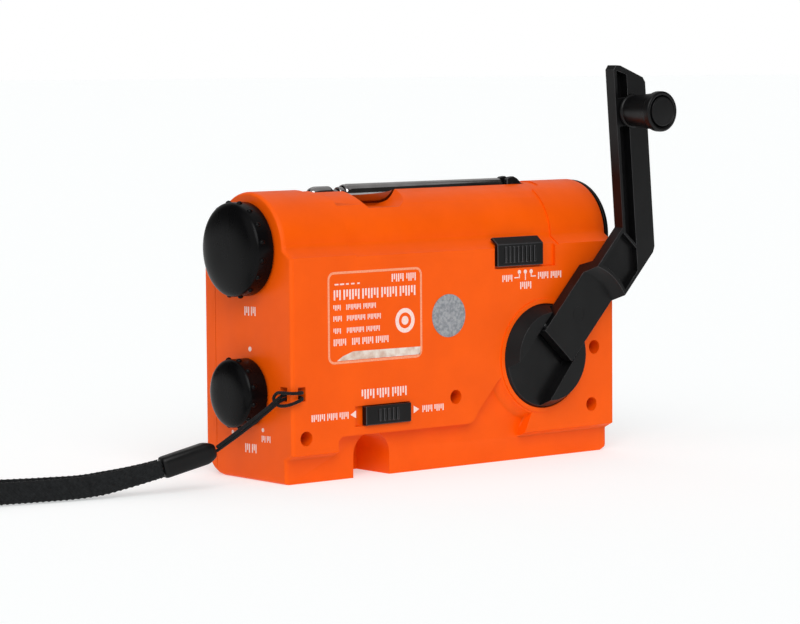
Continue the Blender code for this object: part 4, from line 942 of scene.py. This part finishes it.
def end_prints():
    """Marks beside the knobs on the end face."""
    low, high = ink_levels(END)
    marks = []
    for y, z, radius in ((1.5, 44.3, 0.85), (-8.8, 15.4, 0.7), (8.3, 17.5, 0.7)):
        marks.append(prism(circle(y, z, radius, 16), "X", low, high))
    words = [
        (-1.6, 1.5, 55.5, 58.5),
        (2.1, 5.1, 55.6, 58.6),
        (-2.0, 1.1, 9.2, 12.2),
        (1.8, 4.8, 9.3, 12.3),
        (7.4, 9.8, 13.4, 15.6),
        (10.3, 12.6, 13.5, 15.7),
    ]
    for word in words:
        marks += strokes("X", *word)
    place(show("end_legends", merged(marks), PRINT_WHITE), "case", "grey_foil")


BARS_LEFT_OUT = {
    "0": "middle",
    "1": "top middle bottom left_up left_down",
    "2": "left_up right_down",
    "3": "left_up left_down",
    "4": "top bottom left_down",
    "5": "left_down right_up",
    "6": "right_up",
    "7": "middle bottom left_up left_down",
    "8": "",
    "9": "left_down",
}


def figure(digit, x, z, height):
    """A digit as (x0, x1, z0, z1) bars, its lower left corner at x, z as seen from the front."""
    wide, half, bar = 0.56 * height, height / 2, 0.13 * height
    bars = {
        "top": (x, x + wide, z + height - bar, z + height),
        "middle": (x, x + wide, z + half - bar / 2, z + half + bar / 2),
        "bottom": (x, x + wide, z, z + bar),
        "left_up": (x, x + bar, z + half, z + height),
        "left_down": (x, x + bar, z, z + half),
        "right_up": (x + wide - bar, x + wide, z + half, z + height),
        "right_down": (x + wide - bar, x + wide, z, z + half),
    }
    return [bars[name] for name in bars if name not in BARS_LEFT_OUT[digit].split()]


def dial_prints():
    """Two scales of numbers on the dial plate, behind the clear window on the front."""
    face = ends_of("dial_scale", "Y")[0]
    levels = face - INK[1], face - INK[0]
    left, right = -59.0, -11.0
    height = 2.4
    bars = [(left, right, 61.2, 61.5), (left, right, 58.3, 58.6)]
    scales = [  # the numbers' lower edge, the marks' foot and far end, and the numbers
        (63.9, 61.5, 63.1, ("88", "92", "96", "100", "104", "108")),
        (54.0, 58.3, 56.7, ("53", "60", "70", "90", "120", "160")),
    ]
    for base, foot, far, labels in scales:
        gap = (right - left) / (len(labels) - 1)
        for i, label in enumerate(labels):
            x = left + gap * i
            bars.append((x - 0.15, x + 0.15, min(foot, far), max(foot, far)))
            wide = (0.56 * len(label) + 0.2 * (len(label) - 1)) * height
            for k, digit in enumerate(label):
                bars += figure(digit, x - wide / 2 + k * 0.76 * height, base, height)
        for i in range(5 * (len(labels) - 1)):
            x = left + gap * i / 5
            middle = (foot + far) / 2
            bars.append((x - 0.08, x + 0.08, min(foot, middle), max(foot, middle)))
    marks = merged([prism(box_outline(*bar), "Y", *levels) for bar in bars])
    place(show("dial_marks", marks, PRINT_DARK), "case", "black_plastic")


back_prints()
end_prints()
dial_prints()
crank_marks()


def sticker():
    """The round foil sticker beside the label."""
    profile = [(BACK + 0.02, 0), (BACK + 0.02, 7.4), (BACK + 0.16, 7.4), (BACK + 0.16, 0)]
    disc = turned(profile, "Y", centre_of("inspection_sticker", "Y"), 64)
    place(show("foil_disc", disc, LOOKS["grey_foil"]), "case", "grey_foil", "inspection_sticker")


sticker()


# ---------------------------------------------------------------- every other node keeps its shape
def dress_nodes():
    """Every node's material slots take the look of the slot that the record gives it."""
    slots = {row["node"]: row["material_slot"] for row in frame["record"]["subparts"]}
    for name, ob in NODES.items():
        for slot in ob.material_slots:
            slot.material = LOOKS[slots[name]]


dress_nodes()


# ---------------------------------------------------------------- studio
def sun(name, direction, strength, angle):
    """Parallel light from a direction, soft as from a large panel."""
    light = bpy.data.lights.new(name, "SUN")
    light.energy = strength
    light.angle = radians(angle)
    ob = bpy.data.objects.new(name, light)
    ob.rotation_mode = "QUATERNION"
    ob.rotation_quaternion = Vector(direction).to_track_quat("Z", "Y")
    bpy.context.scene.collection.objects.link(ob)


def background(nodes, colour, strength):
    made = nodes.new("ShaderNodeBackground")
    made.inputs["Color"].default_value = (*colour, 1)
    made.inputs["Strength"].default_value = strength
    return made.outputs["Background"]


def surroundings():
    """A bright wall for the eye, soft white light on what is matt, and a dim warm room in what is glossy."""
    world = bpy.data.worlds.new("studio")
    world.use_nodes = True
    nodes, links = world.node_tree.nodes, world.node_tree.links
    nodes.remove(nodes["Background"])
    seen = background(nodes, (1, 1, 1), 0.16)
    rays = nodes.new("ShaderNodeLightPath")
    for ray, colour, strength in (("Is Glossy Ray", (1.0, 0.93, 0.88), 0.05),
                                  ("Is Camera Ray", (1, 1, 1), 1.0)):
        either = nodes.new("ShaderNodeMixShader")
        links.new(rays.outputs[ray], either.inputs["Fac"])
        links.new(seen, either.inputs[1])
        links.new(background(nodes, colour, strength), either.inputs[2])
        seen = either.outputs["Shader"]
    links.new(seen, nodes["World Output"].inputs["Surface"])
    bpy.context.scene.world = world


def table():
    """White paper that glows a little, so that it stays white wherever the light falls off."""
    bm = bmesh.new()
    bmesh.ops.create_grid(bm, x_segments=1, y_segments=1, size=40.0)
    paper = principled("table_paper", (0.68, 0.68, 0.68), 0.95, specular=0.0)
    shader = paper.node_tree.nodes["Principled BSDF"]
    shader.inputs["Emission Color"].default_value = (0.965, 1, 1, 1)
    shader.inputs["Emission Strength"].default_value = 0.42
    show("table_top", bm, paper, scale=1)


bpy.context.scene.view_settings.view_transform = "Standard"
surroundings()
table()
sun("key", (0.5, 0.9, 0.75), 1.9, 45)
sun("top", (-0.1, 0.1, 1.0), 0.55, 80)
sun("side", (1.0, 0.1, 0.5), 0.5, 60)
sun("front", (-0.5, -0.9, 0.6), 0.5, 70)
